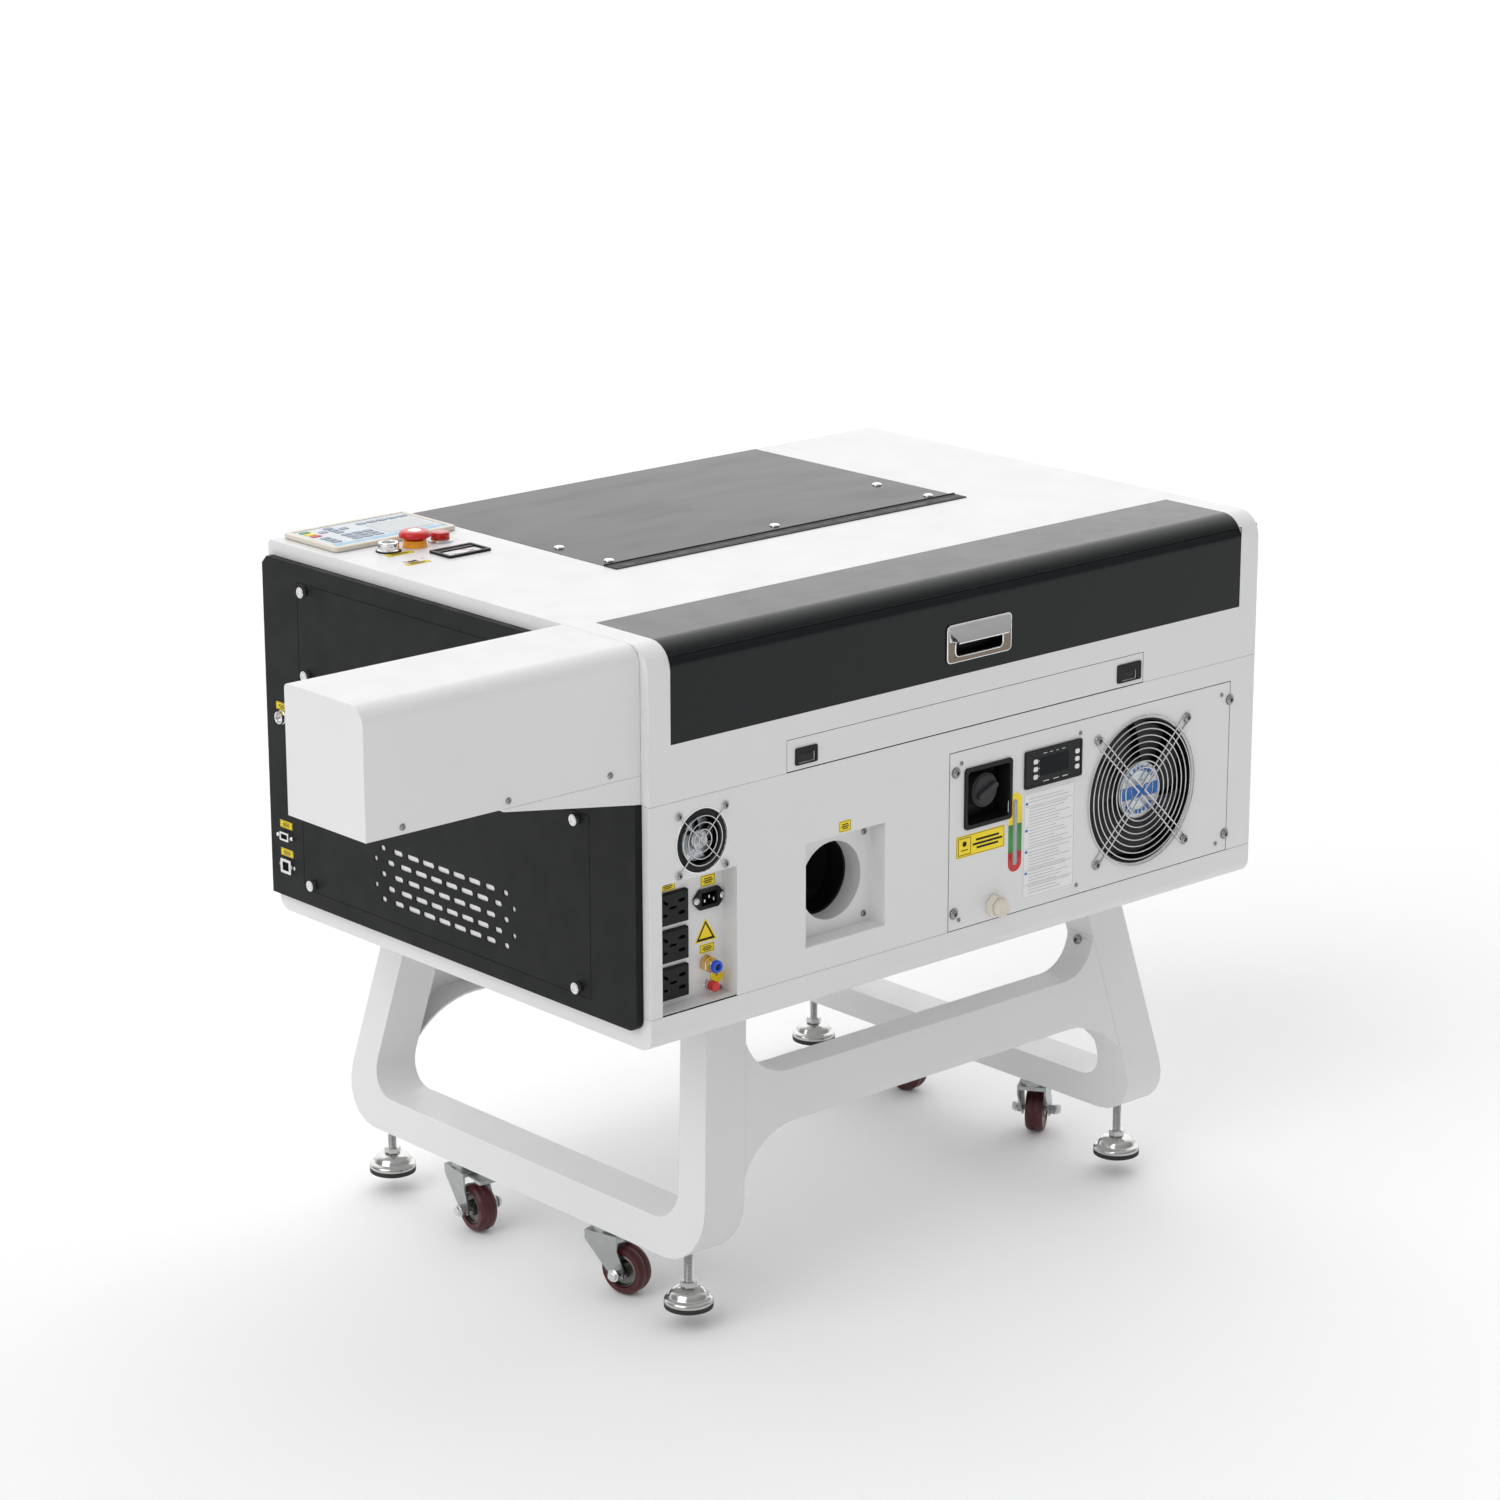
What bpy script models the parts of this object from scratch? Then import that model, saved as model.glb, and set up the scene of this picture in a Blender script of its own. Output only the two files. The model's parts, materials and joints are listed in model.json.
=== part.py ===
"""Laser engraver with a rear tube compartment, built in its own frame.

Metres, +Z up, the operator stands at -Y and +X is at the operator's right.
Shapes are written in machine coordinates: x and y from the middle of the
cabinet, z from the floor.  The empty "machine" then places the machine so that
the middle of its footprint stands at the world origin.
"""

import math

import bmesh
import bpy
from mathutils import Matrix, Vector

# Cabinet
HALF_WIDTH = 0.518
REAR = 0.3682
FRONT = -REAR
BOTTOM = 0.413
RAIL_TOP = 0.4535
SEAM = 0.7114
TOP = 0.900
SHEET = 0.0025
GAP = 0.0003
BOTTOM_RADIUS = 0.018
TOP_REAR_RADIUS = 0.032
TOP_FRONT_RADIUS = 0.006

# Tube compartment, its lid and the extension at the operator's right
PARTITION_Y = 0.2125
SHELF_Z = 0.7575
TUBE_LID_HALF = 0.4845
TUBE_LID_FRONT = 0.2357
TUBE_LID_BOTTOM = 0.7806
EXTENSION_END = 0.909
EXTENSION_FRONT = 0.211
EXTENSION_REAR = 0.3542
EXTENSION_BOTTOM = 0.748
EXTENSION_RADIUS = 0.022

# Window lid
WINDOW_HALF = 0.299
WINDOW_HINGE_Y = 0.0272
WINDOW_APRON_BOTTOM = 0.800
HINGE_Z = TOP + 0.0006

# Side panels and the doors in the right one
PANEL_FACE = 0.529
PANEL_REAR = 0.3554
PANEL_LOW = 0.4375
PANEL_HIGH = 0.882
DOOR_SKIN = 0.0019
UPPER_DOOR = (-0.294, 0.7335, 0.170, 0.8587)
LOWER_DOOR = (-0.2975, 0.4584, 0.2723, 0.6835)

# Rear face
FLAP_HALF = 0.305
FLAP_LOW = 0.7122
FLAP_HIGH = 0.751
LATCHES = {"right": 0.275, "left": -0.2785}
LATCH_Z = 0.7285
HANDLE = (-0.0644, 0.7975, 0.045, 0.845)
SOCKET_OPENING = (0.384, 0.4540, 0.4998, 0.614)
EXHAUST_OPENING = (0.1445, 0.4872, 0.2746, 0.6179)
EXHAUST_HOLE_RADIUS = 0.049
RECESS_DEPTH = 0.026
SMALL_FAN = (0.4382, 0.6566)
SMALL_FAN_PITCH = 0.0715
BIG_FAN = (-0.307, 0.5678)
BIG_FAN_PITCH = 0.164
CHILLER = (-0.4723, 0.4538, 0.0363, 0.6825)
FILLER_BOX = (-0.071, 0.583, 0.010, 0.659)
FILLER_CAP = (-0.032, 0.622)
DRAIN_CAP = (-0.042, 0.472)

# Controls on the right of the top
CONTROL_Y = -0.2128
KEY_X = 0.446
STOP_X = 0.405
BUTTON_X = 0.365
KEYPAD = (0.312, -0.360, 0.502, -0.246)

# Laser mechanism
BEAM_Z = 0.825
TUBE_Y = 0.290
TUBE_RADIUS = 0.040
RAIL_X = 0.380
DECK_Z = 0.760
GANTRY_Y = 0.110
HEAD_X = 0.200
TABLE_Z = 0.722

# Stand: both end frames splay by the same slope in x and y
STAND_Y = -0.028
STAND_HALF = 0.310
LEG_SLOPE_X = 0.179
LEG_SLOPE_Y = 0.182
LEG_OUTER_X = 0.357
LEG_WIDTH = 0.064
LEG_DEPTH = 0.048
BAR_LOW = 0.096
BAR_HIGH = 0.140
STAND_WALL = 0.003
BEAM_TOP = 0.306
BEAM_LOW = 0.244
BEAM_DEPTH = 0.045

# Feet and casters
FOOT_X = 0.380
FOOT_REACH = 0.300
FOOT_CLEARANCE = 0.024
FOOT_RADIUS = 0.031
CASTER_X = 0.381
CASTER_REACH = 0.1427
CASTER_TRAIL = 0.032
WHEEL_RADIUS = 0.032
WHEEL_SIDES = 28
CASTERS = {
    "rear_right": (1, 1, 0.25),
    "front_right": (1, -1, -0.13),
    "rear_left": (-1, 1, 2.19),
    "front_left": (-1, -1, 0.10),
}
BRAKED = ("front_right", "front_left")

# The middle of the machine's footprint, seen from the middle of the cabinet
STAND_REACH = STAND_HALF + LEG_SLOPE_Y * (BOTTOM - BAR_LOW)
DRAIN_REACH = 0.020
DATUM = Vector((-0.190, -0.00275, 0.0))

STEPS = 6  # flats on a quarter round


# ---------------------------------------------------------------- materials


def finish(name, colour, roughness, metallic=0.0):
    """A Principled material in one colour."""
    material = bpy.data.materials.new(name)
    material.use_nodes = True
    shader = material.node_tree.nodes["Principled BSDF"]
    shader.inputs["Base Color"].default_value = (*colour, 1.0)
    shader.inputs["Roughness"].default_value = roughness
    shader.inputs["Metallic"].default_value = metallic
    return material


def make_finishes():
    """Every finish by its plain name."""
    return {
        "white_paint": finish("white_paint", (0.82, 0.82, 0.83), 0.35),
        "black_paint": finish("black_paint", (0.018, 0.020, 0.021), 0.45),
        "smoked_panel": finish("smoked_panel", (0.20, 0.19, 0.185), 0.30),
        "chrome": finish("chrome", (0.80, 0.80, 0.80), 0.12, 1.0),
        "zinc": finish("zinc", (0.55, 0.56, 0.57), 0.35, 1.0),
        "aluminium": finish("aluminium", (0.72, 0.73, 0.75), 0.35, 1.0),
        "black_plastic": finish("black_plastic", (0.015, 0.015, 0.016), 0.4),
        "cream_plastic": finish("cream_plastic", (0.78, 0.75, 0.70), 0.45),
        "red_plastic": finish("red_plastic", (0.65, 0.02, 0.02), 0.3),
        "red_tyre": finish("red_tyre", (0.16, 0.012, 0.014), 0.4),
        "brass": finish("brass", (0.75, 0.55, 0.22), 0.25, 1.0),
        "glass": finish("glass", (0.75, 0.85, 0.88), 0.05),
        "steel": finish("steel", (0.45, 0.46, 0.47), 0.4, 1.0),
    }


# ------------------------------------------------------------- basic shapes


def mesh_object(name, bm):
    """Closes a bmesh into a new object, normals outwards."""
    bmesh.ops.remove_doubles(bm, verts=bm.verts, dist=1e-6)
    bmesh.ops.recalc_face_normals(bm, faces=bm.faces)
    mesh = bpy.data.meshes.new(name)
    bm.to_mesh(mesh)
    bm.free()
    obj = bpy.data.objects.new(name, mesh)
    bpy.context.collection.objects.link(obj)
    return obj


def block(name, low, high):
    """A box between two corners."""
    bm = bmesh.new()
    low, high = Vector(low), Vector(high)
    size = Matrix.Diagonal((*(high - low), 1.0))
    bmesh.ops.create_cube(bm, size=1.0, matrix=Matrix.Translation((low + high) / 2) @ size)
    return mesh_object(name, bm)


def prism(name, outline, axis, start, end):
    """An outline, pushed from start to end along an axis.

    The outline's two numbers are the other two coordinates, in X, Y, Z order.
    """
    bm = bmesh.new()
    place = {
        "x": lambda a, b, d: (d, a, b),
        "y": lambda a, b, d: (a, d, b),
        "z": lambda a, b, d: (a, b, d),
    }[axis]
    ends = [[bm.verts.new(place(a, b, d)) for a, b in outline] for d in (start, end)]
    bm.faces.new(ends[0])
    bm.faces.new(reversed(ends[1]))
    count = len(outline)
    for i in range(count):
        j = (i + 1) % count
        bm.faces.new((ends[0][i], ends[1][i], ends[1][j], ends[0][j]))
    return mesh_object(name, bm)


def circle(centre, radius, sides=32, turn=0.5):
    """Points round a circle; a turn of a half puts a flat at the bottom."""
    return [
        (
            centre[0] + radius * math.cos(2 * math.pi * (i + turn) / sides - math.pi / 2),
            centre[1] + radius * math.sin(2 * math.pi * (i + turn) / sides - math.pi / 2),
        )
        for i in range(sides)
    ]


def rod(name, centre, radius, axis, start, end, sides=32, turn=0.5):
    """A straight round bar along an axis."""
    return prism(name, circle(centre, radius, sides, turn), axis, start, end)


def box_outline(low, high):
    """The four corners of a rectangle."""
    return [(low[0], low[1]), (high[0], low[1]), (high[0], high[1]), (low[0], high[1])]


def rounded(corners, steps=STEPS):
    """An outline with an arc at each corner: corners are (a, b, radius)."""
    points = []
    count = len(corners)
    for i, (a, b, radius) in enumerate(corners):
        if radius <= 0:
            points.append((a, b))
            continue
        here = Vector((a, b))
        before = (Vector(corners[i - 1][:2]) - here).normalized()
        after = (Vector(corners[(i + 1) % count][:2]) - here).normalized()
        half = before.angle(after) / 2
        centre = here + (before + after).normalized() * (radius / math.sin(half))
        start = here + before * (radius / math.tan(half)) - centre
        end = here + after * (radius / math.tan(half)) - centre
        turn = start.angle_signed(end)
        for k in range(steps + 1):
            share = Matrix.Rotation(-turn * k / steps, 2) @ start
            points.append(tuple(centre + share))
    return points


def turned(name, profile, sides=32, place=Matrix.Identity(4)):
    """A profile of (radius, height) turned about the local Z axis.

    A profile that starts and ends on the axis is solid; a closed one that stays
    off the axis has a bore.
    """
    bm = bmesh.new()
    rings = []
    for radius, height in profile:
        if radius == 0:
            rings.append([bm.verts.new((0, 0, height))])
        else:
            rings.append([bm.verts.new((a, b, height)) for a, b in circle((0, 0), radius, sides)])
    pairs = list(zip(rings, rings[1:]))
    if profile[0][0] > 0:
        pairs.append((rings[-1], rings[0]))
    for lower, upper in pairs:
        for i in range(sides):
            j = (i + 1) % sides
            corners = [lower[i % len(lower)], lower[j % len(lower)]]
            corners += [upper[j % len(upper)], upper[i % len(upper)]]
            bm.faces.new(list(dict.fromkeys(corners)))
    bmesh.ops.transform(bm, matrix=place, verts=bm.verts)
    return mesh_object(name, bm)


def combine(body, tool, operation):
    """Applies an exact Boolean with one tool and removes the tool."""
    modifier = body.modifiers.new(tool.name, "BOOLEAN")
    modifier.object = tool
    modifier.operation = operation
    modifier.solver = "EXACT"
    with bpy.context.temp_override(object=body):
        bpy.ops.object.modifier_apply(modifier=modifier.name)
    bpy.data.objects.remove(tool)
    return body


def cut(body, *tools):
    """Cuts each tool from the body."""
    for tool in tools:
        combine(body, tool, "DIFFERENCE")
    return body


def join(body, *tools):
    """Welds each tool to the body."""
    for tool in tools:
        combine(body, tool, "UNION")
    return body


def slope_x(obj, side):
    """Leans a stand part outwards in x as it goes down from the cabinet."""
    for vertex in obj.data.vertices:
        vertex.co.x += side * LEG_SLOPE_X * (BOTTOM - vertex.co.z)


def slope_y(obj, side):
    """Leans a stand part outwards in y as it goes down from the cabinet."""
    for vertex in obj.data.vertices:
        vertex.co.y += side * LEG_SLOPE_Y * (BOTTOM - vertex.co.z)


class Machine:
    """Collects the finished parts under the machine's empty."""

    def __init__(self):
        self.finishes = make_finishes()
        self.datum = bpy.data.objects.new("machine", None)
        self.datum.location = DATUM
        bpy.context.collection.objects.link(self.datum)

    def add(self, obj, finish_name, pivot=(0.0, 0.0, 0.0)):
        """Gives a part its finish, and its origin at the pivot."""
        obj.data.materials.clear()
        obj.data.materials.append(self.finishes[finish_name])
        obj.data.transform(Matrix.Translation(-Vector(pivot)))
        obj.location = pivot
        obj.parent = self.datum
        obj.data.shade_smooth()
        obj.data.set_sharp_from_angle(angle=math.radians(30))
        return obj


# ------------------------------------------------------------------ cabinet


def make_base_frame(machine):
    """The tray that carries the cabinet, with rounded edges along X."""
    top = RAIL_TOP - GAP
    outer = [(FRONT, top, 0), (FRONT, BOTTOM, BOTTOM_RADIUS), (REAR, BOTTOM, BOTTOM_RADIUS), (REAR, top, 0)]
    tray = prism("base_frame", rounded(outer), "x", -HALF_WIDTH, HALF_WIDTH)
    radius = BOTTOM_RADIUS - SHEET
    floor = BOTTOM + SHEET
    inner = [
        (FRONT + SHEET, TOP, 0),
        (FRONT + SHEET, floor, radius),
        (REAR - SHEET, floor, radius),
        (REAR - SHEET, TOP, 0),
    ]
    hollow = prism("hollow", rounded(inner), "x", SHEET - HALF_WIDTH, HALF_WIDTH - SHEET)
    machine.add(cut(tray, hollow), "white_paint")


def make_lower_cabinet(machine):
    """Four walls with openings for the drawer, the door and the rear services."""
    body = block("lower_cabinet", (-HALF_WIDTH, FRONT, RAIL_TOP), (HALF_WIDTH, REAR, SEAM - GAP))
    inside = HALF_WIDTH - SHEET
    cut(body, block("hollow", (-inside, FRONT + SHEET, 0.4), (inside, REAR - SHEET, 0.8)))
    edge = REAR - 0.02
    for name, area in (("chiller", CHILLER), ("socket", SOCKET_OPENING), ("exhaust", EXHAUST_OPENING)):
        low_z = 0.44 if name != "exhaust" else area[1]
        grow = 0.0007 if name == "chiller" else 0.0
        low = (area[0] - grow, edge, low_z)
        cut(body, block(name, low, (area[2] + grow, 0.4, area[3] + grow)))
    cut(body, rod("fan", SMALL_FAN, 0.0385, "y", edge, 0.4))
    door = LOWER_DOOR
    margin = 0.014
    low = (inside - 0.02, door[0] + margin, door[1] + margin)
    cut(body, block("door", low, (0.6, door[2] - margin, door[3] - margin)))
    cut(body, block("drawer", (-0.302, -0.4, 0.468), (0.302, FRONT + 0.02, 0.552)))
    machine.add(body, "white_paint")


def make_upper_cabinet(machine):
    """The top shell with its lid openings, decks, partition and tube shelf."""
    outer = [
        (FRONT, SEAM, 0),
        (REAR, SEAM, 0),
        (REAR, TOP, TOP_REAR_RADIUS),
        (FRONT, TOP, TOP_FRONT_RADIUS),
    ]
    body = prism("upper_cabinet", rounded(outer), "x", -HALF_WIDTH, HALF_WIDTH)
    inner = [
        (FRONT + SHEET, 0.6, 0),
        (REAR - SHEET, 0.6, 0),
        (REAR - SHEET, TOP - SHEET, TOP_REAR_RADIUS - SHEET),
        (FRONT + SHEET, TOP - SHEET, TOP_FRONT_RADIUS - SHEET),
    ]
    inside = HALF_WIDTH - SHEET
    cut(body, prism("hollow", rounded(inner), "x", -inside, inside))
    weld = 0.001
    join(
        body,
        block("partition", (-inside - weld, PARTITION_Y, SHELF_Z), (inside + weld, PARTITION_Y + SHEET, TOP - weld)),
        block("shelf", (-inside - weld, PARTITION_Y, SHELF_Z), (inside + weld, REAR - weld, SHELF_Z + SHEET)),
    )
    for side in (-1, 1):
        ends = sorted((side * 0.330, side * (inside + weld)))
        low = (ends[0], FRONT + weld, DECK_Z)
        join(body, block("deck", low, (ends[1], PARTITION_Y + weld, DECK_Z + SHEET)))
    half = TUBE_LID_HALF + 0.0005
    low_z = TUBE_LID_BOTTOM - 0.0005
    cut(body, block("tube_opening", (-half, TUBE_LID_FRONT, low_z), (half, 0.4, 1.0)))
    low = (-WINDOW_HALF - 0.0005, -0.4, WINDOW_APRON_BOTTOM - 0.0005)
    cut(body, block("window_front", low, (WINDOW_HALF + 0.0005, FRONT + 0.02, 1.0)))
    low = (-WINDOW_HALF - 0.0005, FRONT + 0.01, TOP - 0.01)
    cut(body, block("window_top", low, (WINDOW_HALF + 0.0005, WINDOW_HINGE_Y + 0.0004, 1.0)))
    low = (-FLAP_HALF - 0.0005, REAR - 0.02, 0.70)
    cut(body, block("flap", low, (FLAP_HALF + 0.0005, 0.4, FLAP_HIGH + 0.0005)))
    low = (inside - 0.02, EXTENSION_FRONT + 0.006, SHELF_Z + 0.006)
    cut(body, block("tube_way", low, (0.6, REAR - 0.018, TOP - 0.008)))
    door = UPPER_DOOR
    margin = 0.014
    low = (inside - 0.02, door[0] + margin, DECK_Z + 0.006)
    cut(body, block("door_way", low, (0.6, door[2] - margin, door[3] - margin)))
    beam_way = rod("beam_way", (-0.440, BEAM_Z), 0.018, "y", PARTITION_Y - 0.01, PARTITION_Y + 0.01, 16)
    cut(body, beam_way)
    for x in (KEY_X, STOP_X, BUTTON_X):
        cut(body, rod("control", (x, CONTROL_Y), 0.0113, "z", TOP - 0.01, TOP + 0.01, 24))
    machine.add(body, "white_paint")


def side_outline(inset):
    """A side panel's outline: a cut top front corner and a round lower rear one."""
    return rounded(
        [
            (FRONT + inset, PANEL_LOW + inset, 0),
            (PANEL_REAR - inset, PANEL_LOW + inset, 0.014 - inset),
            (PANEL_REAR - inset, PANEL_HIGH - inset, 0),
            (FRONT + inset + 0.010, PANEL_HIGH - inset, 0),
            (FRONT + inset, PANEL_HIGH - inset - 0.010, 0),
        ]
    )


def make_side_panels(machine):
    """The folded black panels; the right one frames two service doors."""
    foot = HALF_WIDTH + GAP
    skin = PANEL_FACE - SHEET
    right = prism("side_panel_right", side_outline(0), "x", foot, PANEL_FACE)
    cut(right, prism("hollow", side_outline(SHEET), "x", foot - 0.01, skin))
    notch = (0.5, EXTENSION_FRONT - GAP, SEAM + 0.0009)
    cut(right, block("extension_notch", notch, (0.6, 0.4, 1.0)))
    ledge = 0.012
    for name, door in (("upper", UPPER_DOOR), ("lower", LOWER_DOOR)):
        grow = 0.0008
        low = (skin - 0.01, door[0] - grow, door[1] - grow)
        high = (PANEL_FACE + 0.01, door[2] + grow, door[3] + grow)
        cut(right, block(name, low, high))
        low = (skin - 0.0025, door[0] - ledge, door[1] - ledge)
        high = (skin + 0.0003, door[2] + ledge, door[3] + ledge)
        frame = block("ledge", low, high)
        low = (skin - 0.01, door[0] + ledge, door[1] + ledge)
        high = (skin + 0.01, door[2] - ledge, door[3] - ledge)
        join(right, cut(frame, block("ledge_window", low, high)))
        inner = PANEL_FACE - DOOR_SKIN
        leaf = block(f"service_door_{name}", (inner, door[0], door[1]), (PANEL_FACE, door[2], door[3]))
        middle = ((door[0] + door[2]) / 2, (door[1] + door[3]) / 2)
        machine.add(leaf, "black_paint", (PANEL_FACE, *middle))
    machine.add(right, "black_paint")
    left = prism("side_panel_left", side_outline(0), "x", -PANEL_FACE, -foot)
    machine.add(cut(left, prism("hollow", side_outline(SHEET), "x", -skin, 0.01 - foot)), "black_paint")


def make_tube_lid(machine):
    """The black lid that wraps over the rear edge, and its pull handle."""
    front, bottom = TUBE_LID_FRONT + 0.0005, TUBE_LID_BOTTOM
    corners = [
        (front, TOP, 0),
        (front, TOP - SHEET, 0),
        (REAR - SHEET, TOP - SHEET, TOP_REAR_RADIUS - SHEET),
        (REAR - SHEET, bottom, 0),
        (REAR, bottom, 0),
        (REAR, TOP, TOP_REAR_RADIUS),
    ]
    lid = prism("tube_lid", rounded(corners, 10), "x", -TUBE_LID_HALF, TUBE_LID_HALF)
    low_x, low_z, high_x, high_z = HANDLE
    rim = 0.004
    window = block("cup_way", (low_x + rim, 0.35, low_z + rim), (high_x - rim, 0.4, high_z - rim))
    pivot = (0.0, TUBE_LID_FRONT + 0.0003, HINGE_Z)
    machine.add(cut(lid, window), "black_paint", pivot)

    face = REAR + GAP
    handle = block("tube_lid_handle", (low_x, face, low_z), (high_x, face + 0.003, high_z))
    cup = rim + 0.0005
    depth = REAR - 0.022
    join(handle, block("cup", (low_x + cup, depth, low_z + cup), (high_x - cup, face + 0.001, high_z - cup)))
    hood = [(face + 0.002, high_z - 0.001), (face + 0.002, high_z - 0.021), (face + 0.012, high_z - 0.019)]
    join(handle, prism("hood", hood, "x", low_x + 0.010, high_x - 0.010))
    wall = 0.007
    low = (low_x + wall + 0.004, depth + 0.002, low_z + wall)
    cut(handle, block("grip", low, (high_x - wall - 0.004, 0.4, high_z - 0.023)))
    machine.add(handle, "chrome", pivot)


def make_window_lid(machine):
    """The smoked lid over the working area, bent down at the front."""
    side = WINDOW_HALF - 0.0005
    thickness = 0.004
    rear = WINDOW_HINGE_Y - 0.0006
    corners = [
        (rear, TOP - thickness, 0),
        (rear, TOP, 0),
        (FRONT, TOP, TOP_FRONT_RADIUS),
        (FRONT, WINDOW_APRON_BOTTOM, 0),
        (FRONT + thickness, WINDOW_APRON_BOTTOM, 0),
        (FRONT + thickness, TOP - thickness, 0.002),
    ]
    lid = prism("window_lid", rounded(corners), "x", -side, side)
    machine.add(lid, "smoked_panel", (0.0, WINDOW_HINGE_Y, HINGE_Z))


def make_rear_flap(machine):
    """The strip that covers the pass-through slot, with two sliding latches."""
    flap = block("rear_flap", (-FLAP_HALF, REAR - SHEET, FLAP_LOW), (FLAP_HALF, REAR, FLAP_HIGH))
    for side, x in LATCHES.items():
        low = (x - 0.0135, 0.35, LATCH_Z - 0.0085)
        cut(flap, block("latch_way", low, (x + 0.0135, 0.4, LATCH_Z + 0.0085)))
        low = (x - 0.013, REAR - 0.006, LATCH_Z - 0.008)
        slider = block(f"flap_latch_{side}", low, (x + 0.013, REAR + 0.0012, LATCH_Z + 0.002))
        machine.add(slider, "black_plastic", (x, REAR, LATCH_Z))
    machine.add(flap, "white_paint", (0.0, REAR + 0.0006, FLAP_LOW - 0.0003))


def make_extension(machine):
    """The hood over the far end of the laser tube, and the bracket below it."""
    start = HALF_WIDTH + 0.0005
    low, high = EXTENSION_BOTTOM, TOP
    front, rear = EXTENSION_FRONT, EXTENSION_REAR
    outer = [(front, low, 0), (rear, low, 0), (rear, high, EXTENSION_RADIUS), (front, high, 0.006)]
    cover = prism("extension_cover", rounded(outer), "x", start, EXTENSION_END)
    inner = [
        (front + SHEET, low - 0.01, 0),
        (rear - SHEET, low - 0.01, 0),
        (rear - SHEET, high - SHEET, EXTENSION_RADIUS - SHEET),
        (front + SHEET, high - SHEET, 0.0035),
    ]
    cut(cover, prism("hollow", rounded(inner), "x", start - 0.01, EXTENSION_END - SHEET))
    machine.add(cover, "white_paint")

    wedge_end, wedge_low = 0.718, 0.7126
    wedge = [(start, wedge_low), (wedge_end, low - 0.0035), (wedge_end, low - GAP), (start, low - GAP)]
    bracket = prism("extension_bracket", wedge, "y", front, rear)
    hollow = [(start - 0.01, wedge_low + 0.004), (wedge_end - 0.03, low - 0.0045), (start - 0.01, low - 0.0045)]
    cut(bracket, prism("hollow", hollow, "y", front + SHEET, rear - SHEET))
    inset = SHEET + 0.0004
    tongue_low = (start, front + inset, low - 0.001)
    tongue = block("tongue", tongue_low, (EXTENSION_END - 0.004, rear - inset, low + 0.0025))
    machine.add(join(bracket, tongue), "white_paint")


def make_drawer(machine):
    """The scrap drawer below the work table."""
    low, high = (-0.3015, FRONT + GAP, 0.4685), (0.3015, 0.060, 0.5515)
    drawer = block("scrap_drawer", low, high)
    wall = 0.002
    hollow_low = [value + wall for value in low]
    cut(drawer, block("hollow", hollow_low, (high[0] - wall, high[1] - wall, 0.6)))
    machine.add(drawer, "white_paint", (0.0, FRONT, 0.5))


# ------------------------------------------------------------ rear services


def make_recess(name, area, depth):
    """A shallow tray behind an opening in the rear wall."""
    low_x, low_z, high_x, high_z = area
    lip = 0.0025
    back = REAR - depth
    front = REAR - SHEET - GAP
    tray = block(name, (low_x - lip, back - 0.002, low_z - lip), (high_x + lip, front, high_z + lip))
    return cut(tray, block("pocket", (low_x, back, low_z), (high_x, 0.4, high_z)))


def make_sockets(machine):
    """The recess for the mains inlet and the air fitting."""
    area = (SOCKET_OPENING[0], RAIL_TOP + 0.001, SOCKET_OPENING[2], SOCKET_OPENING[3])
    recess = make_recess("socket_recess", area, RECESS_DEPTH)
    back = REAR - RECESS_DEPTH
    inlet_x, inlet_z = 0.4075, 0.574
    way = (0.0144, 0.0105)
    low = (inlet_x - way[0], back - 0.01, inlet_z - way[1])
    cut(recess, block("inlet_way", low, (inlet_x + way[0], back + 0.01, inlet_z + way[1])))
    air_x, air_z = 0.407, 0.494
    cut(recess, rod("air_way", (air_x, air_z), 0.0054, "y", back - 0.01, back + 0.01, 20))
    machine.add(recess, "white_paint")

    half_x, half_z = way[0] - GAP, way[1] - GAP
    low = (inlet_x - half_x, back - 0.018, inlet_z - half_z)
    inlet = block("power_inlet", low, (inlet_x + half_x, back + 0.003, inlet_z + half_z))
    ears = [
        (inlet_x - 0.0231, inlet_z - 0.003, 0.002),
        (inlet_x - 0.015, inlet_z - 0.0125, 0.003),
        (inlet_x + 0.015, inlet_z - 0.0125, 0.003),
        (inlet_x + 0.0231, inlet_z - 0.003, 0.002),
        (inlet_x + 0.0231, inlet_z + 0.003, 0.002),
        (inlet_x + 0.015, inlet_z + 0.0125, 0.003),
        (inlet_x - 0.015, inlet_z + 0.0125, 0.003),
        (inlet_x - 0.0231, inlet_z + 0.003, 0.002),
    ]
    join(inlet, prism("ears", rounded(ears, 2), "y", back + GAP, back + 0.0035))
    low = (inlet_x - 0.012, back - 0.013, inlet_z - 0.008)
    cut(inlet, block("mouth", low, (inlet_x + 0.012, 0.4, inlet_z + 0.008)))
    machine.add(inlet, "black_plastic")

    out = Matrix.Translation((air_x, back + GAP, air_z)) @ Matrix.Rotation(-math.pi / 2, 4, "X")
    hexagon = turned("air_fitting", [(0, 0), (0.0085, 0), (0.0085, 0.008), (0, 0.008)], 6, out)
    barrel = turned("barrel", [(0, 0.006), (0.0066, 0.006), (0.0066, 0.024), (0, 0.024)], 20, out)
    stem = turned("stem", [(0, -0.012), (0.0050, -0.012), (0.0050, 0.004), (0, 0.004)], 20, out)
    join(hexagon, barrel, stem)
    bore = turned("bore", [(0, 0.010), (0.0030, 0.010), (0.0030, 0.03), (0, 0.03)], 16, out)
    machine.add(cut(hexagon, bore), "brass")


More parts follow.
